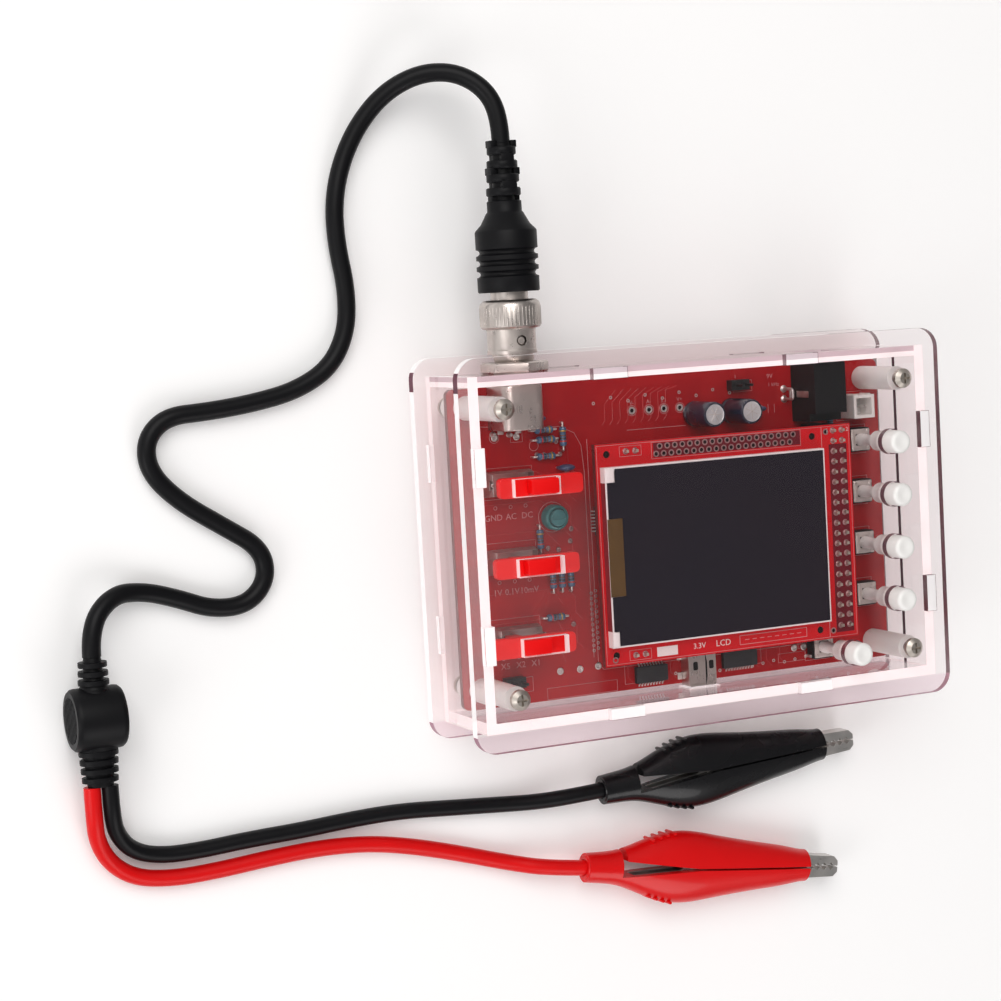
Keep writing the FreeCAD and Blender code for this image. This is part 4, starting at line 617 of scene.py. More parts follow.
def turnPiece(name, profile, place=(0, 0, 0), axis="Z", sides=32, closed=False):
    # a ring is drawn out and scaled from corner to corner of (radius, height), then laid on its axis
    radius, height = profile[0]
    item = addRing(name, (0, 0, height), max(radius, 0.01), sides, "NOTHING" if closed else "NGON")
    selectOnly(item)
    bpy.ops.object.mode_set(mode="EDIT")
    bpy.context.tool_settings.mesh_select_mode = (True, False, False)
    bpy.ops.mesh.select_all(action="SELECT")
    for nextRadius, nextHeight in profile[1:]:
        nextRadius = max(nextRadius, 0.01)
        rise = {"value": (0, 0, (nextHeight - height) * mm)}
        bpy.ops.mesh.extrude_region_move(TRANSFORM_OT_translate=rise)
        ratio = nextRadius / max(radius, 0.01)
        if abs(ratio - 1) > 1e-5:
            bpy.ops.transform.resize(value=(ratio, ratio, 1))
        radius, height = nextRadius, nextHeight
    if closed:
        bpy.ops.object.mode_set(mode="OBJECT")
        pick(item, lambda edge, middle: len(edge.link_faces) == 1, "EDGE")
        bpy.ops.mesh.bridge_edge_loops()
    bpy.ops.mesh.select_all(action="SELECT")
    bpy.ops.mesh.remove_doubles(threshold=0.000002)
    bpy.ops.mesh.normals_make_consistent(inside=False)
    bpy.ops.object.mode_set(mode="OBJECT")
    turns = {"Z": (0, 0, 0), "Y": (-90, 0, 0), "X": (0, 90, 0)}
    return placed(item, place, turns[axis])


def placed(item, place=(0, 0, 0), turn=(0, 0, 0)):
    item.location = [value * mm for value in place]
    item.rotation_euler = [math.radians(angle) for angle in turn]
    selectOnly(item)
    bpy.ops.object.transform_apply(location=True, rotation=True, scale=True)
    return item


def shift(x, y, z):
    return Matrix.Translation((x * mm, y * mm, z * mm))


def spin(angle, axis="Z"):
    return Matrix.Rotation(math.radians(angle), 4, axis)


def twinOf(item, move):
    # a copy with its own mesh, and the move made in that mesh
    twin = item.copy()
    twin.data = item.data.copy()
    scene.collection.objects.link(twin)
    twin.data.transform(move)
    return twin


def copyTo(item, spots, keep=False):
    # one copy at each spot, given as (x, y, z) or (x, y, z, turn about Z)
    made = [twinOf(item, shift(x, y, z) @ spin(turn[0] if turn else 0)) for x, y, z, *turn in spots]
    if not keep:
        bpy.data.objects.remove(item)
    return made


def onBoard(spots, level=None):
    return [(x, y, boardTop if level is None else level) for x, y in spots]


def joined(name, items):
    selectOnly(*items)
    if len(items) > 1:
        bpy.ops.object.join()
    item = bpy.context.view_layer.objects.active
    item.name = name
    item.data.name = name
    return item


def coat(item, finishName):
    item.data.materials.clear()
    item.data.materials.append(paint[finishName])
    return item


def finish(item, body="case", node=None, angle=35):
    if angle:
        selectOnly(item)
        bpy.ops.object.shade_smooth_by_angle(angle=math.radians(angle))
    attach(item, body)
    if node:
        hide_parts(*([node] if isinstance(node, str) else node))
    return item


def bendWires(name, lines, radius, finishName, kind="NURBS", steps=12, roundness=2):
    # wires through points in mm, smooth or straight from point to point, made mesh
    curve = bpy.data.curves.new(name, "CURVE")
    curve.dimensions = "3D"
    for points in lines:
        spline = curve.splines.new(kind)
        spline.points.add(len(points) - 1)
        for point, spot in zip(spline.points, points):
            point.co = (*[value * mm for value in spot], 1)
        if kind == "NURBS":
            spline.order_u = 3
            spline.use_endpoint_u = True
            spline.resolution_u = steps
        elif points[0] == points[-1]:
            spline.use_cyclic_u = True
    curve.bevel_depth = radius * mm
    curve.bevel_resolution = roundness
    item = bpy.data.objects.new(name, curve)
    scene.collection.objects.link(item)
    selectOnly(item)
    bpy.ops.object.convert(target="MESH")
    return coat(bpy.context.object, finishName)


def drawLines(name, lines, width, z, finishName):
    # a flat drawing of open or closed lines, as a low raised mesh
    drawn = [[(x, y, z) for x, y in points] for points in lines]
    return bendWires(name, drawn, width / 2, finishName, "POLY", roundness=0)


def carve(item, cutter):
    cut = item.modifiers.new("carve", "BOOLEAN")
    cut.operation = "DIFFERENCE"
    cut.solver = "EXACT"
    cut.object = cutter
    selectOnly(item)
    bpy.ops.object.modifier_apply(modifier=cut.name)
    bpy.data.objects.remove(cutter)


def circle(x, y, radius, sides=14):
    turns = [2 * math.pi * step / sides for step in range(sides)]
    points = [(x + radius * math.cos(turn), y + radius * math.sin(turn)) for turn in turns]
    return points + points[:1]


def outline(left, low, right, high):
    return [(left, low), (right, low), (right, high), (left, high), (left, low)]


def writeWords(words, z, finishName):
    # words: (text, middle x, middle y, height in mm)
    items = []
    for text, x, y, height in words:
        selectOnly()
        bpy.ops.object.text_add(location=(x * mm, y * mm, z * mm))
        item = bpy.context.object
        item.data.body = text
        item.data.size = height * 1.35 * mm
        item.data.align_x = "CENTER"
        item.data.align_y = "CENTER"
        item.data.extrude = 0.015 * mm
        item.data.resolution_u = 2
        bpy.ops.object.convert(target="MESH")
        settle(bpy.context.object, f"mark_{len(items)}")
        items.append(coat(bpy.context.object, finishName))
    return items


# Main board: tracks under the mask, plated pads, solder and worn ink

boardTop = 12.0
boardMarks = {
    "slideDots": [(-49.3, 5.1), (-45.3, 5.1), (-41.4, 5.1)],
    "rowDrop": (0, 17.75, 35.95),
    "words": [
        [("GND", -49.9, 2.75), ("AC", -45.3, 2.75), ("DC", -41.1, 2.75)],
        [("1V", -49.9, -15.1), ("0.1V", -46.1, -15.1), ("10mV", -41.6, -15.1)],
        [("X5", -48.9, -32.8), ("X2", -44.9, -32.8), ("X1", -40.9, -32.8)],
    ],
    "bigPads": [
        (-11.7, 25.55), (-7, 25.45), (-2.9, 25.45), (1.5, 25.35), (-48.6, 21.7), (-42.9, 21.6),
        (-34.7, -35.5), (-29.4, -35.6), (-24.5, -35.4), (30.6, -37.2), (33.4, -37.2),
    ],
    "smallPads": [
        (-37.8, 16.9), (-35.95, 16.75), (-33.9, 16.75), (-31.7, 16.6), (-40.2, 23.6), (-36.6, 24.1),
        (-32.5, 19.7), (-30.1, 12.4), (-30.4, 8.2), (-33.4, -6.2), (-36.2, -5.6), (-38.4, -7.4),
        (-33.2, -22.4), (-35.4, -22.6), (-30.5, -24.5), (-29.8, -1.5), (-30.2, -4.4), (42.9, 12.2),
        (43.6, 6.3), (43.4, -0.4), (43.8, -6.6), (43.2, -13.2), (43.8, -19.4), (42.8, -26.2),
    ],
    "corner": [
        (-52.6, 24.6), (-38.7, 23.5), (-31.5, 23.2), (-27.6, 21.4), (-25.9, 18.2), (-25.4, 12),
        (-25.4, -33.2),
    ],
    "frames": [
        (16.7, 28.1, 22, 30.8), (-44.4, 20.3, -41.3, 23), (-38.3, -42, -19.5, -39.3),
        (26, -40.5, 33.9, -38.3), (31.9, -37.5, 33.3, -35.4), (46.2, 18.8, 53.8, 25.9),
        (-46.9, -39.4, -42, -35.9), (-17.3, -40.8, -7.1, -35), (10.2, -39.9, 21, -34.1),
    ],
    "notes": [
        ("9V", 27.2, 31.3, 1.2), ("1", 17.4, 31.8, 1), ("OK", 46.6, 9.9, 1), ("+", 46.6, -3.1, 1.3),
        ("-", 46.6, -16.1, 1.3), ("RESET", 31.4, -33.2, 1), ("5V", -1.8, -36.4, 1), ("1 kHz", 28.2, 29.2, 1),
    ],
}
print("board marks laid out")


def makePad(name, radius, bore):
    # a plated ring with a solder cone and the cut end of a wire in it
    item = addRing(name, (0, 0, 0.01), radius, 18)
    inset(item, everyFace, radius - bore, 0.04)
    inset(item, lambda face, middle: face.calc_area() < math.pi * (bore * 1.05 * mm) ** 2, bore * 0.3, 0.12)
    inset(item, lambda face, middle: face.calc_area() < math.pi * (bore * 0.75 * mm) ** 2, bore * 0.2, 0.2)
    return coat(item, "tin")


def makeBoardPads():
    spots = boardMarks["bigPads"]
    pads = copyTo(makePad("pad", 0.8, 0.42), onBoard(spots[4:]))
    pads += copyTo(coat(makePad("pad", 0.48, 0.28), "dullTin"), onBoard(boardMarks["smallPads"]))
    # the first four are open eyes for test wires
    eye = turnPiece("eye", [(0.95, 0), (0.92, 0.09), (0.52, 0.09), (0.46, 0)], sides=24, closed=True)
    pads += copyTo(coat(eye, "tin"), onBoard(spots[:4]))
    # a disc of painted shade fills the hole of each eye
    dark = coat(addRing("eye", (0, 0, 0.02), 0.5, 16), "holeShade")
    drawOut(dark, everyFace, (0, 0, 0.01), 0.95)
    pads += copyTo(dark, onBoard(spots[:4]))
    finish(joined("board_pads", pads))

    ring = turnPiece("via", [(0.42, 0), (0.42, 0.05), (0.22, 0.05), (0.22, 0)], sides=10, closed=True)
    vias = [(-56 + 3.1 * step, -40.4 + 0.35 * (step % 3)) for step in (*range(3), *range(14, 36))]
    vias += [(-22 + 4.7 * step, 28 + 1.1 * (step % 2)) for step in range(10)]
    vias += [(x, y - 1.27 * step) for x, y in ((-25.3, -17.6), (-24.1, -17.1)) for step in range(12)]
    finish(joined("board_vias", copyTo(coat(ring, "tin"), onBoard(vias))))


def makeBoardInk():
    lines = []
    for drop in boardMarks["rowDrop"]:
        lines += [circle(x, y - drop, 0.42, 10) for x, y in boardMarks["slideDots"]]
        lines.append(outline(-53.1, 7.15 - drop, -39.3, 14.55 - drop))
    lines += [circle(x, y, 1.25) for x, y in boardMarks["bigPads"][:5]]
    lines += [boardMarks["corner"], [(-24.3, 19.6), (-24.3, -35), (-22.9, -36.4), (40.5, -36.4)]]
    lines += [circle(-34.6, 1.75, 3.6, 20), circle(-38.4, 19.1, 1.2)]
    lines += [outline(*frameSides) for frameSides in boardMarks["frames"]]
    lines += [outline(x - 3.6, y - 3.6, x + 3.6, y + 3.6) for x, y in buttonSpots]
    lines += [[(x, 22.2), (x, 24.4)] for x in (24.6, 26.4, 28.2)] + [[(-13.4, 20.9), (2.9, 20.9)]]
    ink = drawLines("ink", lines, 0.16, boardTop, "rose")
    words = [(text, x, y, 1.55) for row in boardMarks["words"] for text, x, y in row]
    words += [(text, x, 27.4, 1) for text, x in (("V-", -11.7), ("A-", -7), ("3.3", -2.9), ("V+", 1.5))]
    marks = writeWords(words + boardMarks["notes"], boardTop + 0.02, "rose")
    finish(joined("board_ink", [ink, *marks]), angle=0)


def makeBoardTracks():
    tracks = []
    for row in range(7):
        y = 17.6 - row * 7.1
        long = [(-55.5, y), (-54.2, y - 1.3), (-54.2, y - 4.6), (-38 + row * 0.6, y - 4.6), (-33, y - 8.5)]
        tracks.append(long)
        tracks.append([(-31.2, y + 1.8), (-29.6, y + 0.2), (-29.6, y - 3.9), (-27.9, y - 5.6)])
    for step in range(9):
        x = -20 + step * 2.1
        tracks.append([(x, 22.6), (x + 0.9, 23.7), (x + 0.9, 27.5 + 0.3 * step), (x + 4.1, 30.8)])
    for step in range(12):
        x = -17.5 + step * 3.9
        tracks.append([(x, -35), (x + 1.1, -36.5), (x + 1.1, -39.2), (x + 2.6, -40.9)])
    for step in range(8):
        y = 15.2 - step * 6.1
        tracks.append([(41.2, y), (42.6, y - 1.4), (45.6, y - 1.4), (47.1, y - 3.1)])
    finish(drawLines("board_tracks", tracks, 0.34, boardTop - 0.06, "track"), angle=0)


buttonSpots = [(50.8, 13.85), (50.8, 0.85), (50.8, -12.15), (50.8, -25.15), (37.4, -37.25)]
makeBoardPads()
makeBoardInk()
makeBoardTracks()
print("main board detailed")

# Display board: hole field, outline, jumpers and the header's soldered pins

displayTop = 24.6
displayMarks = {
    "border": (-28.25, -33.45, 41.45, 18.55),
    "fieldX": -12.4,
    "fieldPitch": 2.05,
    "fieldRows": (15.6, 17.4),
    "mountHoles": [(-25.65, 16.45), (30.85, 16.45), (-25.65, -31.35), (30.85, -31.35)],
    "jumpers": [(-19.25, 16.85), (-19.25, -31.75)],
    "headerX": (36.83, 39.37),
    "headerTop": 17.48,
    "pitch": 2.54,
}


def makeDisplayDetail():
    marks = displayMarks
    ring = turnPiece("hole", [(0.78, 0), (0.78, 0.07), (0.46, 0.07), (0.46, 0.01)], sides=12, closed=True)
    coat(ring, "dullTin")
    # dark discs of painted shade fill the holes of the field
    plug = coat(addRing("plug", (0, 0, 0.03), 0.47, 12), "holeShade")
    drawOut(plug, everyFace, (0, 0, -0.02), 0.96)
    spots = [
        (marks["fieldX"] + marks["fieldPitch"] * (column + 0.5 * row), y, displayTop)
        for row, y in enumerate(marks["fieldRows"])
        for column in range(19)
    ]
    single = [(-26, -32.4, displayTop), (34.6, -31.9, displayTop), (34.8, 17.3, displayTop)]
    plugs = copyTo(plug, spots + single)
    finish(joined("display_holes", copyTo(ring, spots + single)))

    # the mounting holes' lacquered lips, and discs of painted shade in the bores
    lip = [(1.7, 0), (1.7, 0.04), (0.86, 0.04), (0.82, -0.9), (1.4, -0.9), (1.4, 0)]
    lip = coat(turnPiece("lip", lip, sides=24, closed=True), "smallBoard")
    corners = onBoard(marks["mountHoles"], displayTop)
    finish(joined("display_hole_lips", copyTo(lip, corners)))
    dark = coat(addRing("dark", (0, 0, -0.4), 0.84, 24), "holeShade")
    drawOut(dark, everyFace, (0, 0, 0.1), 0.97)
    darks = copyTo(dark, corners)
    finish(joined("display_hole_shade", plugs + darks), angle=0)

    # painted shade: the hole field and the long header stand on lacquer painted darker where shade falls
    field = addBox("field", (7.15, 16.5, displayTop + 0.01), (40.6, 3.4, 0.02))
    strip = addBox("strip", (38.1, -9.2, displayTop + 0.01), (5.1, 46.6, 0.02))
    for plate in (field, strip):
        inset(coat(plate, "shadeMask"), faceUp, 0.2, 0.005)
    finish(joined("display_shade", [field, strip]), angle=0)

    left, low, right, high = marks["border"]
    lines = [outline(left, low, right, high), outline(-13.6, 14.5, 27.6, 18.4)]
    lines += [outline(x - 2.9, y - 1.2, x + 2.9, y + 1.2) for x, y in marks["jumpers"]]
    lines += [[(33.6, high), (33.6, low)], [(8, -32.5), (26.9, -32.5)], [(8, -30.3), (26.9, -30.3)]]
    lines += [[(8, -32.5), (8, -30.3)], [(26.9, -32.5), (26.9, -30.3)]]
    lines += [[(9.4 + 2.1 * step, -31.4), (10.6 + 2.1 * step, -31.4)] for step in range(8)]
    ink = drawLines("ink", lines, 0.17, displayTop, "rose")
    patch = coat(addBox("patch", (-12, -31.7, displayTop + 0.015), (5.6, 2.3, 0.03)), "ink")
    words = [("1", 35.2, 17.5, 1.1), ("2", 41, 17.5, 1), ("LCD", 3.4, -31.5, 1.6), ("3.3V", -3.2, -31.5, 1.4)]
    marksInk = writeWords(words, displayTop + 0.02, "ink")
    finish(joined("display_ink", [ink, patch, *marksInk]), angle=0)

    # plated ring, hollow solder cone and the square end of the pin
    profile = [(0.78, 0), (0.76, 0.08), (0.56, 0.12), (0.38, 0.34), (0.3, 0.62), (0, 0.66)]
    pad = coat(turnPiece("pad", profile, sides=12), "dullTin")
    rows = [
        (x, marks["headerTop"] - marks["pitch"] * row, displayTop)
        for row in range(20)
        for x in marks["headerX"]
    ]
    rows += [(x + side * 1.27, y, displayTop) for x, y in marks["jumpers"] for side in (-1, 1)]
    finish(joined("display_solder", copyTo(pad, rows)))


makeDisplayDetail()

# Screen: dark film to within a line of the white frame, corner blocks, amber tail over the rim

screenFilm = {
    "outline": [
        (-24.9, 13.1), (32.35, 13.1), (32.35, -28.8), (-25.7, -28.8), (-25.7, -25.3), (-27.1, -25.3),
        (-27.1, -17.1), (-23.5, -17.1), (-23.5, 1.4), (-27.1, 1.4), (-27.1, 9.9), (-24.9, 9.9),
    ],
    "low": 26.9,
    "thick": 0.12,
    "blocks": [(-26.3, 11.65, 2.3, 3.3), (-26.65, -27.15, 1.6, 3.4)],
    "tail": (-25.5, -7.85, 3.95, 18.4),
}


def makeScreenFilm():
    film = screenFilm
    mesh = bpy.data.meshes.new("film")
    corners = [(x * mm, y * mm, film["low"] * mm) for x, y in film["outline"]]
    mesh.from_pydata(corners, [], [range(len(corners))])
    item = bpy.data.objects.new("film", mesh)
    scene.collection.objects.link(item)
    selectOnly(item)
    bpy.ops.object.mode_set(mode="EDIT")
    bpy.ops.mesh.select_all(action="SELECT")
    bpy.ops.mesh.extrude_region_move(TRANSFORM_OT_translate={"value": (0, 0, film["thick"] * mm)})
    bpy.ops.mesh.select_all(action="SELECT")
    bpy.ops.mesh.normals_make_consistent(inside=False)
    bpy.ops.object.mode_set(mode="OBJECT")
    coat(item, "screen")
    finish(joined("screen_film", [item]), angle=0)

    blocks = []
    for x, y, wide, deep in film["blocks"]:
        block = addBox("block", (x, y, film["low"] + 0.1), (wide, deep, 0.2))
        inset(block, faceUp, 0.12, 0.08)
        blocks.append(coat(block, "frameWhite"))
    finish(joined("frame_corners", blocks))

    x, y, wide, deep = film["tail"]
    tail = addBox("tail", (x, y, film["low"] + 0.06), (wide, deep, 0.1))
    inset(tail, faceUp, 0.3, 0.04)
    finish(joined("flex_tail", [coat(tail, "amber")]))


makeScreenFilm()
print("display board detailed")

# Push switches: metal cover with four rivets over a black body, legs at the corners

pushSwitch = {"side": 6, "cover": 5.4, "coverLow": 3.1, "bore": 2.0, "rivetAt": 2.2, "legWide": 0.7}


def makePushSwitches():
    size = pushSwitch
    body = addBox("body", (0, 0, 1.6), (size["side"], size["side"], 3.0))
    bevelEdges(body, upright, 0.5)
    soften(body, 0.12)
    coat(body, "blackPlastic")
    corner, bore, low = size["cover"] / 2 * 1.414, size["bore"], size["coverLow"]
    cover = [(corner, low), (corner, 3.38), (3.5, 3.48), (bore, 3.48), (bore, low)]
    cover = placed(turnPiece("cover", cover, sides=4, closed=True), turn=(0, 0, 45))
    soften(cover, 0.06)
    coat(cover, "darkSteel")
    well = turnPiece("well", [(1.98, 3.46), (1.98, 2.35), (0, 2.35)], sides=24)
    pick(well, lambda face, middle: middle.z > 3.45)
    bpy.ops.mesh.delete(type="FACE")
    bpy.ops.mesh.select_all(action="SELECT")
    bpy.ops.mesh.flip_normals()
    leaveEdit()
    coat(well, "blackPlastic")
    rivet = turnPiece("rivet", [(0.5, 3.44), (0.5, 3.52), (0.34, 3.6), (0, 3.62)], sides=14)
    coat(rivet, "darkSteel")
    rivets = copyTo(rivet, [(x * size["rivetAt"], y * size["rivetAt"], 0) for x in (-1, 1) for y in (-1, 1)])
    leg = addBox("leg", (3.25, 2.25, 1.2), (0.3, size["legWide"], 2.2))
    drawOut(leg, faceDown, (0.25, 0, -0.05), 0.8)
    coat(leg, "tin")
    legs = copyTo(leg, [(0, 0, 0), (0, -4.5, 0), (0, 0, 0, 180), (0, 4.5, 0, 180)])
    one = joined("switch", [body, cover, well, *rivets, *legs])
    finish(joined("push_switch_set", copyTo(one, onBoard(buttonSpots))), node="push_switches")


makePushSwitches()

# Button caps: slim stem with a collar, hollow-backed round cap with a soft edge and a dished top

buttonCap = {"stem": 1.55, "cap": 2.82, "base": 14.95, "flare": 23.2, "top": 34.5, "dish": 0.25}


def makeButtons():
    stem, cap, base, flare, top, dish = buttonCap.values()
    profile = [
        (1.0, base), (stem, base + 0.3), (stem, 17.2), (1.3, 17.5), (1.3, 21.6), (1.75, 22.4), (2.5, flare),
        (2.5, 26.2), (2.62, 26.4), (cap, 26.6), (cap, top - 0.75), (cap - 0.2, top - 0.3), (cap - 0.7, top),
        (1.6, top - 0.02), (0.8, top - dish), (0, top - dish - 0.03),
    ]
    names = ["button_1", "button_2", "button_3", "button_4", "reset_button"]
    one = coat(turnPiece("cap", profile, sides=40), "cap")
    for name, item in zip(names, copyTo(one, onBoard(buttonSpots, 0))):
        item.name = f"{name}_cap"
        finish(item, body=name, node=name, angle=40)


makeButtons()
print("switches and buttons made")

# Slide switches: folded steel cover with end tabs, dimples and a sunk slot

slideSwitch = {"x": -46.2, "rows": (10.85, -7.65, -26.15), "long": 12.6, "wide": 6.2, "tall": 4.6}


def makeSlideSwitches():
    size = slideSwitch
    long, wide, tall = size["long"], size["wide"], size["tall"]
    cover = addBox("cover", (0, 0, tall / 2 + 0.25), (long - 0.3, wide - 0.2, tall - 0.5))
    top = lambda face, middle: face.normal.z > 0.9 and middle.z > 4
    inset(cover, top, 1.15)
    pick(cover, lambda face, middle: top(face, middle) and face.calc_area() < 45 * mm * mm)
    bpy.ops.transform.resize(value=(0.86, 0.86, 1))
    bpy.ops.mesh.extrude_region_move(TRANSFORM_OT_translate={"value": (0, 0, -3.1 * mm)})
    leaveEdit()
    bevelEdges(cover, lambda edge, middle: abs(middle.z - tall) < 0.2 and abs(middle.y) > 2.9, 0.4, 3)
    soften(cover, 0.1)
    coat(cover, "switchCan")
    tab = addBox("tab", (long / 2 - 0.1, 0, 2.3), (0.3, 2.2, 4.2))
    drawOut(tab, faceDown, (0, 0, -0.1), 0.6)
    coat(tab, "switchCan")
    dimple = turnPiece("dimple", [(0.55, 4.32), (0.5, 4.42), (0.3, 4.5), (0, 4.52)], sides=12)
    coat(dimple, "switchCan")
    dimples = copyTo(dimple, [(-5.4, 0, 0), (5.4, 0, 0)])
    one = joined("switch", [cover, *copyTo(tab, [(0, 0, 0), (0, 0, 0, 180)]), *dimples])
    spots = [(size["x"], y, boardTop) for y in size["rows"]]
    finish(joined("slide_switch_set", copyTo(one, spots)), node="slide_switches")


makeSlideSwitches()

# Sliders: flat bar, raised thumb and a lever down to the switch's knob

sliderPiece = {
    "bar": (21.4, 4.8, 2.4), "barZ": 26.5, "thumb": (7, 3.6, 2.8), "thumbZ": 29.1,
    "lever": (3, 2.4, 11.3), "leverZ": 19.65, "x": (-44.2, -46.2, -48.2),
}


def makeSliders():
    size = sliderPiece
    bar = addBox("bar", (0, 0, size["barZ"]), [value - 0.05 for value in size["bar"]])
    bevelEdges(bar, upright, 1.1, 4)
    soften(bar, 0.22)
    long, wide, tall = size["thumb"]
    thumb = addBox("thumb", (0, 0, size["thumbZ"]), (long, wide, tall))
    bevelEdges(thumb, upright, 0.45, 3)
    soften(thumb, 0.2)
    lever = addBox("lever", (0, 0, size["leverZ"]), [value - 0.03 for value in size["lever"]])
    drawOut(lever, faceDown, (0, 0, -0.01), 0.9)
    soften(lever, 0.15)
    base = coat(joined("slider", [bar, thumb, lever]), "thumb")
    spots = [(x, y, 0) for x, y in zip(size["x"], slideSwitch["rows"])]
    for number, item in enumerate(copyTo(base, spots), 1):
        item.name = f"slider_piece_{number}"
        finish(item, body=f"slider_{number}", node=f"slider_{number}")


makeSliders()
print("slide switches made")

# Electrolytic cans: dark shrink sleeve, rolled bead, scored aluminium top

capCan = {"radius": 3.08, "tall": 10.9, "spots": [(5.1, 23.65), (15.4, 23.65)]}


def makeCans():
    radius, tall = capCan["radius"], capCan["tall"]
    profile = [
        (radius - 0.5, 0.05), (radius - 0.1, 0.15), (radius, 0.4), (radius, 1.3), (radius - 0.28, 1.6),
        (radius - 0.28, 1.9), (radius, 2.2), (radius, tall - 0.5), (radius - 0.15, tall - 0.12),
        (radius - 0.4, tall), (radius - 0.62, tall - 0.02), (radius - 0.66, tall - 0.12), (0, tall - 0.12),
    ]
    can = turnPiece("can", profile, sides=40)
    coat(can, "sleeve")
    can.data.materials.append(paint["can"])
    for face in can.data.polygons:
        middle = Vector(face.center) / mm
        if middle.z > tall - 0.14 and math.hypot(middle.x, middle.y) < radius - 0.6:
            face.material_index = 1
    score = addBox("score", (0, 0, tall - 0.11), (3.6, 0.14, 0.03))
    soften(score, 0.01)
    coat(score, "darkSteel")
    scores = copyTo(score, [(0, 0, 0, turn) for turn in (0, 60, 120)])
    one = joined("can", [can, *scores])
    spots = [(x, y, boardTop, 35 * index) for index, (x, y) in enumerate(capCan["spots"])]
    finish(joined("can_set", copyTo(one, spots)), node="capacitor_cans")


makeCans()

# Resistors: dog-bone body in blue lacquer with colour bands, bent wires

resistor = {"rise": 1.3, "half": 2.3, "radius": 0.88, "wire": 0.28, "bands": (-1.15, -0.45, 0.2, 1.3)}
resistorSpots = [
    (-36.2, 22.75, 1), (-35.8, 20.45, 1), (-35.9, 16.45, 1), (-38.6, -3.15, 0), (-35.8, -12.95, 0),
    (-33.4, -12.95, 0), (-31, -12.95, 0), (-35.6, -22.15, 1), (-31.2, 20.85, 0), (43.45, 19.35, 0),
]


def makeResistors():
    rise, half, radius, wire, bandSpots = resistor.values()
    profile = [
        (wire, -half), (radius * 0.8, -half + 0.08), (radius, -half + 0.45), (radius * 0.97, -half + 0.9),
        (radius * 0.82, -half + 1.25), (radius * 0.82, half - 1.25), (radius * 0.97, half - 0.9),
        (radius, half - 0.45), (radius * 0.8, half - 0.08), (wire, half),
    ]
    parts = [coat(turnPiece("body", profile, (0, 0, rise), "X", 20), "resistorCoat")]
    for place, colour in zip(bandSpots, ("bandRed", "bandBlack", "bandBrown", "bandGold")):
        wide = radius * (0.99 if abs(place) > 1 else 0.84)
        low, high = place - 0.16, place + 0.16
        ring = [(wide, low), (wide + 0.03, low + 0.03), (wide + 0.03, high - 0.03), (wide, high)]
        ring += [(wide - 0.1, high), (wide - 0.1, low)]
        parts.append(coat(turnPiece("band", ring, (0, 0, rise), "X", 20, closed=True), colour))
    reach = half + 1.0
    lines = []
    for side in (-1, 1):
        bend = [(half * 0.9, rise), (reach - 0.45, rise), (reach, rise), (reach, rise - 0.5), (reach, 0)]
        lines.append([(side * x, 0, z) for x, z in bend])
    one = joined("resistor", [*parts, bendWires("wire", lines, wire, "tin", steps=5)])
    spots = [(x, y, boardTop, 0 if flat else 90) for x, y, flat in resistorSpots]
    finish(joined("resistor_set", copyTo(one, spots)), node="resistors", angle=50)


makeResistors()

# Disc capacitors: lens of dark blue dip coat that runs down the wires

discSpots = [(-38.4, 25.65), (-31.4, 13.45), (-38.2, -8.15), (21.9, 23.65)]


def makeDiscs():
    side = [(0.9, 0.76), (1.6, 0.55), (2.0, 0.25)]
    profile = [(0, -0.8), *[(radius, -depth) for radius, depth in side], (2.09, 0), *side[::-1], (0, 0.8)]
    lens = coat(turnPiece("lens", profile, (0, 0, 2.75), "Y", 28), "discCoat")
    run = turnPiece("run", [(0.5, 1.7), (0.46, 1.1), (0.34, 0.55), (0.28, 0.5)], sides=12)
    coat(run, "discCoat")
    wire = coat(turnPiece("wire", [(0.27, 0), (0.27, 0.9), (0.24, 1.2)], sides=10), "tin")
    pairs = copyTo(run, [(-1.27, 0, 0), (1.27, 0, 0)]) + copyTo(wire, [(-1.27, 0, 0), (1.27, 0, 0)])
    one = joined("disc", [lens, *pairs])
    finish(joined("disc_set", copyTo(one, onBoard(discSpots))), node="disc_capacitors", angle=60)


makeDiscs()

# Chips: moulded bodies with a first-pin dimple and gull-wing legs, on two or four sides

chipSet = [
    (-10.4, -38.85, 8.6, 4, False), (14.4, -37.85, 9.6, 4.2, False),
    (-20, -0.25, 7, 7, True), (5, -2.25, 9, 9, True),
]


def makeChips():
    items = []
    leg = addBox("leg", (0, 0, 0.62), (0.32, 0.5, 0.16))
    drawOut(leg, lambda face, middle: face.normal.y > 0.9, (0, 0.18, -0.42))
    drawOut(leg, lambda face, middle: face.normal.y > 0.5 and middle.y > 0.35, (0, 0.45, -0.06))
    coat(leg, "tin")
    for x, y, wide, deep, quad in chipSet:
        body = addBox("body", (0, 0, 0.72), (wide, deep, 1.3))
        inset(body, lambda face, middle: face.normal.z > 0.9 and middle.z > 1, 0.16)
        bevelEdges(body, lambda edge, middle: middle.z > 1.3 and abs(middle.y) > deep / 2 - 0.1, 0.12, 1)
        soften(body, 0.05)
        dimple = [(0.42, 1.37), (0.42, 1.385), (0.3, 1.385), (0.3, 1.372)]
        dimple = coat(turnPiece("dimple", dimple, sides=14, closed=True), "chipMark")
        items += copyTo(coat(body, "chip"), [(x, y, boardTop)])
        items += copyTo(dimple, [(x - wide / 2 + 1, y - deep / 2 + 1, boardTop)])
        count = int((wide - 0.8) / 0.8)
        outX, outY = wide / 2 + 0.02, deep / 2 + 0.02
        for step in range(count):
            along = (step - (count - 1) / 2) * 0.8
            spots = [(x + along, y + outY, boardTop), (x - along, y - outY, boardTop, 180)]
            if quad:
                spots += [(x - outX, y + along, boardTop, 90), (x + outX, y - along, boardTop, -90)]
            items += copyTo(leg, spots, keep=True)
    bpy.data.objects.remove(leg)
    finish(joined("chip_set", items), node="chips")


makeChips()

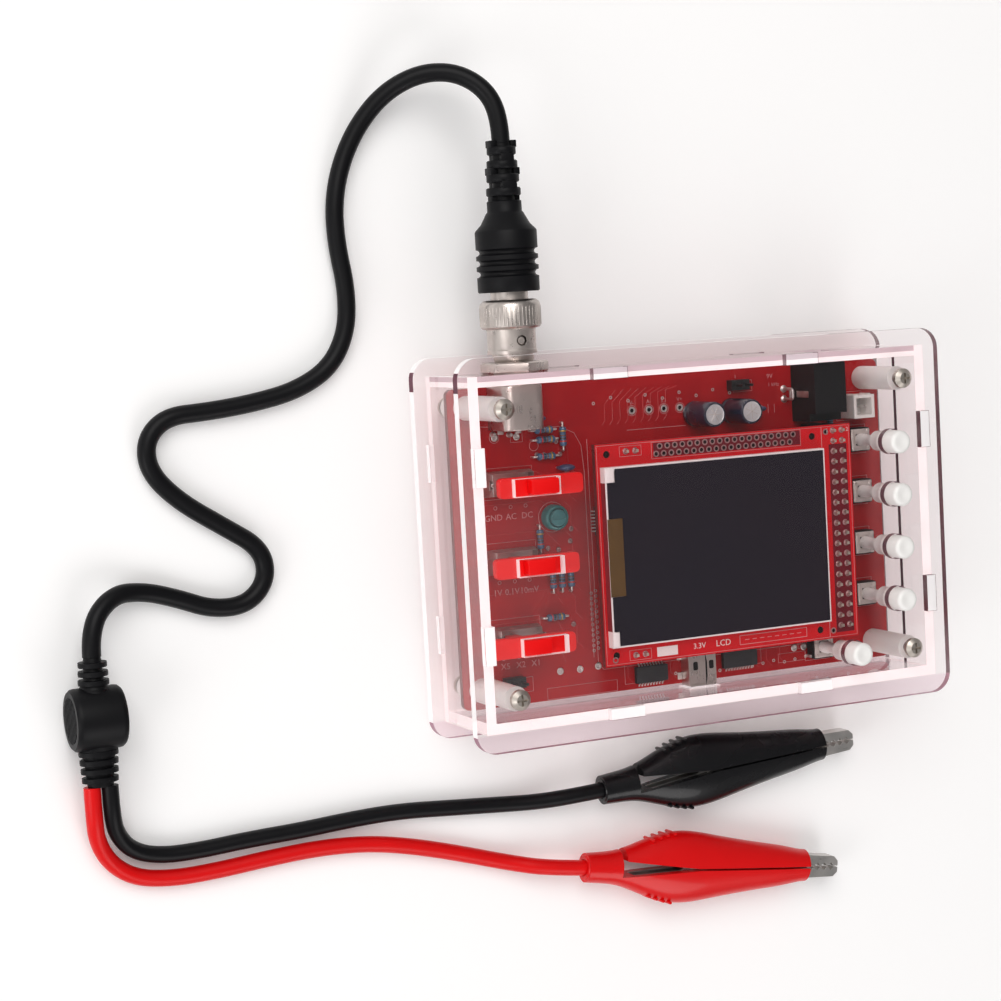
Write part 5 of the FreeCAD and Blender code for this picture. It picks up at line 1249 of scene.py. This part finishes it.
# Trimmer: teal cup and a lighter teal rotor with a screwdriver slot

trimmer = {"x": -34.6, "y": 1.75, "radius": 3.05}


def makeTrimmer():
    x, y, radius = trimmer["x"], trimmer["y"], trimmer["radius"]
    profile = [
        (radius * 0.9, 0.1), (radius, 0.35), (radius, 2.7), (radius - 0.25, 3.15), (radius - 0.5, 3.3),
        (2.35, 3.3), (2.2, 3.05), (2.2, 2.75), (2.0, 2.6), (2.0, 0.1),
    ]
    cup = turnPiece("cup", profile, (x, y, boardTop), sides=44, closed=True)
    floor = turnPiece("floor", [(2.1, 2.3), (2.1, 2.7), (0, 2.7)], (x, y, boardTop), sides=32)
    finish(coat(joined("trimmer_cup", [cup, floor]), "trimmer"), node="trimmer_body")
    rotor = [(2.05, 2.82), (2.08, 3.5), (1.95, 3.85), (1.7, 3.95), (0, 3.97)]
    disc = turnPiece("disc", rotor, (x, y, boardTop), sides=36)
    carve(disc, addBox("groove", (x, y, boardTop + 3.98), (3.4, 0.62, 0.5)))
    disc.name = "trimmer_disc"
    finish(coat(disc, "trimmerDisc"), body="trimmer_rotor", node="trimmer_rotor")


makeTrimmer()
print("loose components made")

# Supply socket: raised lip, lining and side spring on the black shell, and solder feet

supplySocket = {"x": 37.8, "z": 18.4, "mouth": 34.15, "left": 33.3, "right": 42.3}


def makeSocketDetail():
    x, z, mouth = supplySocket["x"], supplySocket["z"], supplySocket["mouth"]
    lip = [(3.95, -0.02), (3.95, 0.06), (3.7, 0.1), (3.32, 0.1), (3.2, -0.02), (3.2, -0.5), (3.3, -0.52)]
    ring = coat(turnPiece("lip", lip, (x, mouth - 0.12, z), "Y", 40, closed=True), "blackPlastic")
    sleeve = [(3.17, -8.9), (3.17, -1.2), (3.06, -1.2), (3.06, -8.9)]
    lining = coat(turnPiece("lining", sleeve, (x, mouth, z), "Y", 32, closed=True), "nickel")
    spring = addBox("spring", (0, 0, 0), (1.6, 0.12, 5.2))
    drawOut(spring, faceUp, (0, -0.3, 0.8), 0.7)
    soften(spring, 0.04)
    coat(placed(spring, (supplySocket["left"] - 0.04, 26.5, 17.2), (0, 0, 90)), "nickel")
    foot = addBox("foot", (0, 0, 12.35), (0.9, 2.6, 0.5))
    soften(foot, 0.1)
    coat(foot, "tin")
    feet = copyTo(foot, [(supplySocket["left"] - 0.35, 26.4, 0), (supplySocket["right"] + 0.35, 24.2, 0)])
    finish(joined("supply_socket_trim", [ring, lining, spring, *feet]))


makeSocketDetail()

# Computer socket: seam, windows, board tabs and a flared lip on the folded shell

usbShell = {"x": 2.1, "low": -42.65, "high": -33.85, "z": 12}


def makeUsbDetail():
    x, low, high, z = usbShell["x"], usbShell["low"], usbShell["high"], usbShell["z"]
    middle = (low + high) / 2
    seam = coat(addBox("seam", (x + 0.9, middle - 0.6, z + 3.905), (0.12, 7.2, 0.03)), "blackPlastic")
    drawOut(seam, lambda face, middle: face.normal.x > 0.9, (0.35, 0, 0), 0.5)
    window = addBox("window", (0, 0, 0), (1.3, 2.1, 0.03))
    bevelEdges(window, lambda edge, middle: abs(edge.verts[0].co.z - edge.verts[1].co.z) > 0.01 * mm, 0.4, 3)
    coat(window, "blackPlastic")
    windows = copyTo(window, [(x - 1.9, middle + 0.4, z + 3.905), (x + 2.5, middle + 0.4, z + 3.905)])
    tab = addBox("tab", (0, 0, 0), (0.8, 1.7, 0.25))
    drawOut(tab, lambda face, middle: face.normal.x > 0.9, (0.5, 0, -0.02))
    soften(tab, 0.06)
    coat(tab, "tin")
    spots = [(x + 4.1, low + 2.2, z + 0.2), (x + 4.1, high - 1.8, z + 0.2)]
    spots += [(x - 4.1, low + 2.2, z + 0.2, 180), (x - 4.1, high - 1.8, z + 0.2, 180)]
    lip = addBox("lip", (x, low + 0.1, z + 3.98), (7.0, 0.35, 0.12))
    drawOut(lip, lambda face, middle: face.normal.y < -0.9, (0, -0.12, 0.05))
    coat(lip, "nickel")
    finish(joined("usb_trim", [seam, *windows, *copyTo(tab, spots), lip]))


makeUsbDetail()

# Battery header: keyed wall ribs and bright contacts in the white shell

batteryShell = {"x": 50, "y": 22.35, "top": 19}


def makeBatteryDetail():
    x, y, top = batteryShell["x"], batteryShell["y"], batteryShell["top"]
    rib = addBox("rib", (0, 0, 0), (0.5, 0.35, 4.4))
    soften(rib, 0.1)
    coat(rib, "nylon")
    ribs = copyTo(rib, [(x + side * 1.9, y + 3.03, top - 2.5) for side in (-1, 1)])
    pin = addBox("pin", (0, 0, 0), (0.62, 0.62, 2.2))
    inset(pin, faceUp, 0.12, 0.25)
    coat(pin, "tin")
    pins = copyTo(pin, [(x + side * 1.27, y, top - 2.7) for side in (-1, 1)])
    finish(joined("battery_trim", ribs + pins))


makeBatteryDetail()


def makeTestLoop():
    # bent wire with round shoulders and a dab of solder at each foot
    x, low, high, knee, top = 31.1, 25.38, 27.92, 14.2, 16.25
    bend = [(low, boardTop), (low, knee), (low, top), ((low + high) / 2, top + 0.02)]
    bend += [(high, top), (high, knee), (high, boardTop)]
    wire = bendWires("test_wire", [[(x, y, z) for y, z in bend]], 0.37, "tin", roundness=4)
    dab = turnPiece("dab", [(0.95, 0.02), (0.8, 0.12), (0.45, 0.4), (0.38, 0.7)], sides=18)
    dabs = copyTo(coat(dab, "tin"), onBoard([(x, low), (x, high)]))
    finish(joined("test_wire", [wire, *dabs]), node="test_loop")


makeTestLoop()


def makeHeaderMouths():
    # painted shade: a thin dark plate stands in for the shaded notch of each contact on both long sides of
    # the socket strip
    notch = addBox("notch", (0, 0, 0), (0.06, 0.5, 7.6))
    drawOut(notch, faceUp, (0, 0, 0.3), 0.4)
    coat(notch, "holeShade")
    top, pitch = displayMarks["headerTop"], displayMarks["pitch"]
    spots = [(x, top - pitch * row, 16.2) for row in range(20) for x in (35.55, 40.65)]
    finish(joined("header_notch_shade", copyTo(notch, spots)), angle=0)


makeHeaderMouths()
print("sockets detailed")

# Signal socket: milled block, threaded neck, barrel with two lugs, solder tabs on the board

signalSocket = {"x": -44.9, "z": 17.6, "lugs": 44.45}


def makeSignalSocket():
    x, z, lugs = signalSocket["x"], signalSocket["z"], signalSocket["lugs"]
    block = addBox("block", (x, 28.85, 17.4), (10.3, 10.5, 10.7))
    # only the two upper edges along the socket's axis are rounded
    lengthwise = lambda edge: abs(edge.verts[0].co.y - edge.verts[1].co.y) > mm
    bevelEdges(block, lambda edge, middle: middle.z > 20 and lengthwise(edge), 2.2, 6)
    soften(block, 0.25)
    coat(block, "nickel")
    neck = [(4.68, 33.4)]
    for turn in range(9):
        start = 34.2 + turn * 0.62
        neck += [(4.68, start), (4.4, start + 0.31)]
    neck += [(4.68, 40.0), (4.78, 40.2), (4.78, 49.4), (4.6, 49.72), (4.25, 49.72), (4.22, 49.4)]
    neck += [(4.22, 40.9), (2.6, 40.9), (2.6, 33.4)]
    tube = coat(turnPiece("neck", neck, (x, 0, z), "Y", 48, closed=True), "nickel")
    lug = [(0.92, 4.6), (0.92, 5.3), (0.8, 5.42), (0, 5.42)]
    pin = coat(turnPiece("lug", lug, sides=20), "nickel")
    low = placed(twinOf(pin, shift(0, 0, 0)), (x, lugs, z), (180, 0, 0))
    placed(pin, (x, lugs, z))
    tab = addBox("tab", (0, 0, 12.4), (1.5, 1.1, 0.7))
    soften(tab, 0.2)
    coat(tab, "tin")
    tabs = copyTo(tab, [(x - 2.2, 22.9, 0), (x + 2.4, 22.9, 0)])
    pins = turnPiece("pin", [(0.75, 12.02), (0.6, 12.3), (0.42, 12.7), (0.42, 13.3), (0, 13.35)], sides=14)
    coat(pins, "tin")
    feet = copyTo(pins, [(x - 4.1, 22.6, 0), (x + 0.2, 22.2, 0)])
    finish(joined("signal_socket", [block, tube, pin, low, *tabs, *feet]), node="signal_jack")
    lining = [(0.8, 45), (0.8, 47.2), (1.6, 47.3), (2.36, 47), (2.38, 29)]
    core = turnPiece("lining", lining + [(0.8, 29)], (x, 0, z), "Y", 32, closed=True)
    finish(coat(core, "nylon"), node="signal_insulator")
    nut = [(4.8, 37.02), (7.6, 37.02), (8.02, 37.35), (8.02, 39.2), (7.6, 39.57), (4.8, 39.57)]
    hexagon = turnPiece("nut", nut, (x, 0, z), "Y", 6, closed=True)
    soften(hexagon, 0.12)
    finish(coat(hexagon, "nickel"), node="signal_nut")


makeSignalSocket()

# Bayonet ring: knurled grip with rounded shoulders, and a skirt with two lug windows

bayonet = {"skirt": 5.85, "grip": 7.2, "inside": 5.6, "low": 41.4, "gripFrom": 47.3, "high": 54.02}


def makeBayonet():
    x, z = signalSocket["x"], signalSocket["z"]
    skirt, grip, inside, low, gripFrom, high = bayonet.values()
    profile = [
        (inside + 0.02, low + 0.1), (skirt - 0.05, low), (skirt, low + 0.15), (skirt, low + 0.9),
        (skirt - 0.12, low + 1.0), (skirt - 0.12, gripFrom - 0.5), (skirt, gripFrom - 0.1),
        (grip - 0.5, gripFrom + 0.05), (grip - 0.1, gripFrom + 0.45), (grip - 0.02, high - 1.5),
        (grip - 0.3, high - 0.7), (grip - 1.0, high - 0.12), (grip - 1.6, high), (4.6, high),
        (4.6, high - 0.9), (inside + 0.4, high - 0.95), (inside + 0.4, gripFrom + 0.5),
        (inside + 0.02, gripFrom),
    ]
    ring = coat(turnPiece("ring", profile, (x, 0, z), "Y", 72, closed=True), "nickel")
    rib = addBox("rib", (0, 0, 0), (0.36, high - gripFrom - 2.4, 0.16))
    soften(rib, 0.06)
    coat(rib, "nickel")
    place = shift(x, (gripFrom + high - 1) / 2, z)
    ribs = [twinOf(rib, place @ spin(step * 7.5, "Y") @ shift(0, 0, grip - 0.06)) for step in range(48)]
    bpy.data.objects.remove(rib)
    window = turnPiece("window", [(1.25, 5.2), (1.25, 6.4)], (x, signalSocket["lugs"], z), sides=28)
    twin = twinOf(window, shift(0, 0, 2 * z) @ Matrix.Scale(-1, 4, (0, 0, 1)))
    twin.data.flip_normals()
    carve(ring, window)
    carve(ring, twin)
    finish(joined("bayonet_ring_piece", [ring, *ribs]), body="bayonet_ring", node="bayonet_ring")


makeBayonet()

# Moulded boot on the plug: three rounded grooves, a shoulder, and a bend relief of staggered rings

plugBoot = {"start": 55.78, "radius": 7.25, "gripEnd": 70.15, "coneEnd": 74.15, "tip": 90.2}


def reliefRing(name, radius, thick, gap, core):
    # one ring of a bend relief, open at both sides and tied to the next by webs
    corner = radius - 0.25
    profile = [(core, 0), (corner, 0), (radius, 0.25), (radius, thick - 0.25), (corner, thick), (core, thick)]
    ring = turnPiece(name, profile, axis="Y", sides=32, closed=True)
    web = addBox("web", (0, thick + gap / 2, radius * 0.76), (radius * 0.9, gap + 0.4, radius * 0.42))
    soften(web, 0.12)
    return joined(name, [ring, web, twinOf(web, spin(180, "Y"))])


def makePlugBoot():
    x, z = signalSocket["x"], signalSocket["z"]
    start, radius, end, cone, tip = plugBoot.values()
    profile = [(4.6, start), (radius - 0.25, start), (radius, start + 0.3)]
    for groove in range(3):
        middle = start + 4.3 + groove * 2.5
        profile += [(radius, middle - 0.75), (radius - 0.5, middle - 0.6), (radius - 0.85, middle - 0.2)]
        profile += [(radius - 0.85, middle + 0.2), (radius - 0.5, middle + 0.6), (radius, middle + 0.75)]
    profile += [(radius, end - 0.4), (radius - 0.15, end), (radius - 1.5, end + 1.4), (4.35, cone)]
    profile += [(4.05, cone + 0.3), (4.05, cone + 2.6), (3.8, cone + 2.8)]
    profile += [(2.6, cone + 2.8), (2.25, tip - 1.4), (2.2, tip)]
    body = turnPiece("boot", profile, (x, 0, z), "Y", 56)
    rings = []
    for step in range(4):
        ring = reliefRing("relief", 4.05 - 0.22 * step, 1.9, 1.25, 2.2)
        ring.data.transform(shift(x, cone + 3.9 + step * 3.15, z) @ spin(90 * (step % 2), "Y"))
        rings.append(ring)
    foot = addBox("foot", (x, cone + 3.3, z), (7.2, 1.5, 2.4))
    soften(foot, 0.2)
    finish(coat(joined("plug_boot", [body, *rings, foot]), "bootRubber"), node="cable_boot", angle=45)


makePlugBoot()
print("plug made")

# Splitter: ribbed drum lying on its rim with grip lines across its end, neck and tail reliefs

splitter = {"x": -147.2, "y": -33.6, "z": 7.15, "radius": 7.1, "half": 5.8, "neckEnd": -19.8, "tailEnd": -49}


def makeSplitter():
    x, y, z, radius, half, neckEnd, tailEnd = splitter.values()
    edge = [(radius - 1.9, half - 0.25), (radius - 1.75, half - 0.02), (radius - 0.6, half - 0.02)]
    edge += [(radius - 0.1, half - 0.6), (radius, half - 1.4)]
    drum = turnPiece("drum", [(wide, -rise) for wide, rise in edge] + edge[::-1], (x, y, z), "X", 56)
    grips = []
    for step in range(9):
        across = (step - 4) * 1.12
        reach = math.sqrt((radius - 1.95) ** 2 - across ** 2) - 0.1
        for side in (-1, 1):
            ridge = addBox("ridge", (x + side * (half - 0.16), y, z + across), (0.26, 2 * reach, 0.5))
            soften(ridge, 0.1)
            grips.append(ridge)
    necks = []
    for turn, end, tall, core, flat in ((0, neckEnd, 3.6, 2.4, 1.0), (180, tailEnd, 4.5, 3.4, 0.74)):
        long = abs(end - y)
        sleeve = [(core + 1.6, 4.5), (core + 1.3, 6.2), (core, long * 0.62)]
        sleeve += [(core - 0.35, long - 0.6), (core - 0.5, long)]
        parts = [turnPiece("neck", sleeve, axis="Y", sides=36)]
        for step in range(4):
            rise, wide = long - 1.7 - step * 2.0, tall - 0.12 * (3 - step)
            ring = [(core - 0.6, rise - 0.5), (wide, rise - 0.5), (wide + 0.05, rise + 0.1)]
            ring += [(wide, rise + 0.6), (core - 0.6, rise + 0.6)]
            parts.append(turnPiece("rib", ring, axis="Y", sides=36, closed=True))
        neck = joined("neck", parts)
        neck.data.transform(shift(x, y, z) @ spin(turn) @ Matrix.Diagonal((1, 1, flat, 1)))
        necks.append(neck)
    whole = joined("splitter_piece", [drum, *grips, *necks])
    return finish(coat(whole, "bootRubber"), node="splitter", angle=45)


splitterPiece = makeSplitter()
print("splitter made")

# Clip boots keep their lofted halves and gain finger ridges, a tail collar and a rivet

clips = {
    "red": {"tail": (-27.3, -86.2), "turn": -8, "paint": "redVinyl"},
    "black": {"tail": (-21.5, -67.6), "turn": 3, "paint": "blackVinyl"},
    "z": 5.1,
    "rivetAt": 30,
}


def clipPlace(colour):
    clip = clips[colour]
    return shift(*clip["tail"], clips["z"]) @ spin(clip["turn"])


def makeClipTrim(colour):
    place, vinylName = clipPlace(colour), clips[colour]["paint"]
    stations = [(17.5, 7.1), (19.5, 7.75), (21.5, 8.3), (23.5, 8.75)]
    bulge = [(0.35, -2.6), (0.45, -2.2), (0.5, 0), (0.45, 2.2), (0.35, 2.6)]
    for side, half, body in ((-1, "lower", "case"), (1, "upper", f"{colour}_clip_jaw")):
        ridges = []
        for along, reach in stations:
            ridge = turnPiece("ridge", bulge, sides=12)
            ridge.data.transform(shift(along, side * (reach - 0.12), 0))
            ridges.append(ridge)
        item = coat(joined(f"{colour}_{half}_grip", ridges), vinylName)
        item.data.transform(place)
        finish(item, body=body)
    collar = [(2.1, -0.3), (2.9, -0.25), (3.2, 0.1), (3.2, 0.9), (3.45, 1.4), (3.0, 1.6), (2.1, 1.5)]
    ring = turnPiece(f"{colour}_tail_collar", collar, axis="Y", sides=32, closed=True)
    ring.data.transform(place @ spin(-90))
    finish(coat(ring, vinylName))
    rivet = [(1.25, 1.95), (1.5, 2.05), (1.45, 2.25), (1.0, 2.42), (0, 2.46)]
    rivet = turnPiece(f"{colour}_rivet", rivet, sides=24)
    rivet.data.transform(place @ shift(clips["rivetAt"], 0, 0))
    finish(coat(rivet, "nickelSheet"))


def makeSprings():
    # three turns round the rivet, with one leg toward the tail
    centre, radius = clips["rivetAt"], 1.6
    points = [(centre - 9, -1.75, -0.45), (centre - 4, -1.75, -0.5), (centre - 0.8, -1.75, -0.5)]
    for step in range(19):
        turn = step * math.pi / 3
        points.append((centre + radius * math.cos(turn), radius * math.sin(turn), -0.5 + step * 0.055))
    items = []
    for colour in ("red", "black"):
        coil = bendWires("coil", [points], 0.28, "steel")
        coil.data.transform(clipPlace(colour))
        items.append(coil)
    finish(joined("spring_pair", items), node="clip_springs")


for colour in ("red", "black"):
    makeClipTrim(colour)
makeSprings()
print("clips detailed")

# Floor, backdrop and lights


def makeStage():
    bpy.ops.mesh.primitive_plane_add(size=6, location=(0, 0, 0))
    floor = bpy.context.object
    floor.name = "floor"
    material, tree, surface = newMaterial("pale_floor")
    place = addNode(tree, "ShaderNodeTexCoord").outputs["Object"]
    tone = mixColor(tree, noise(tree, place, 8, 4), (0.955, 0.953, 0.955, 1), (0.975, 0.972, 0.972, 1))
    # the floor is seen a shade whiter than it lights the object
    path = addNode(tree, "ShaderNodeLightPath").outputs
    seen = maths(tree, "MAXIMUM", *[path[f"Is {kind} Ray"] for kind in ("Camera", "Glossy", "Transmission")])
    glow = {"Emission Color": (1, 1, 1, 1), "Emission Strength": maths(tree, "MULTIPLY", seen, 0.07)}
    setInputs(tree, surface, {"Base Color": tone, "Roughness": 0.7, **glow})
    floor.data.materials.append(material)


def addLight(name, spot, aim, size, power, color=(1, 1, 1)):
    data = bpy.data.lights.new(name, "AREA")
    data.shape = "DISK"
    data.size = size
    data.energy = power
    data.color = color
    light = bpy.data.objects.new(name, data)
    light.location = spot
    light.rotation_euler = (Vector(aim) - Vector(spot)).to_track_quat("-Z", "Y").to_euler()
    scene.collection.objects.link(light)


def makeLights():
    world = bpy.data.worlds.new("studio")
    scene.world = world
    world.use_nodes = True
    tree = world.node_tree
    place = addNode(tree, "ShaderNodeTexCoord").outputs["Generated"]
    across = addNode(tree, "ShaderNodeSeparateXYZ", {0: place}).outputs["X"]
    # the side that the screen mirrors is dim, so the dark pieces stay dark
    strength = span(tree, across, -0.9, 0.6, 0.66, 0.22)
    setInputs(tree, tree.nodes["Background"], {"Strength": strength, "Color": (1, 0.985, 0.98, 1)})
    addLight("key", (-0.45, 0.75, 1.1), (-0.03, 0, 0), 1.1, 9.7, (1, 0.98, 0.96))
    addLight("fill", (0.2, -1.0, 0.8), (0, 0, 0), 0.8, 4.5, (1, 0.98, 0.98))
    addLight("rim", (-0.9, -0.3, 0.5), (-0.05, 0, 0.01), 0.5, 2)


makeStage()
makeLights()
scene.view_settings.view_transform = "Standard"
print("stage and lights set")
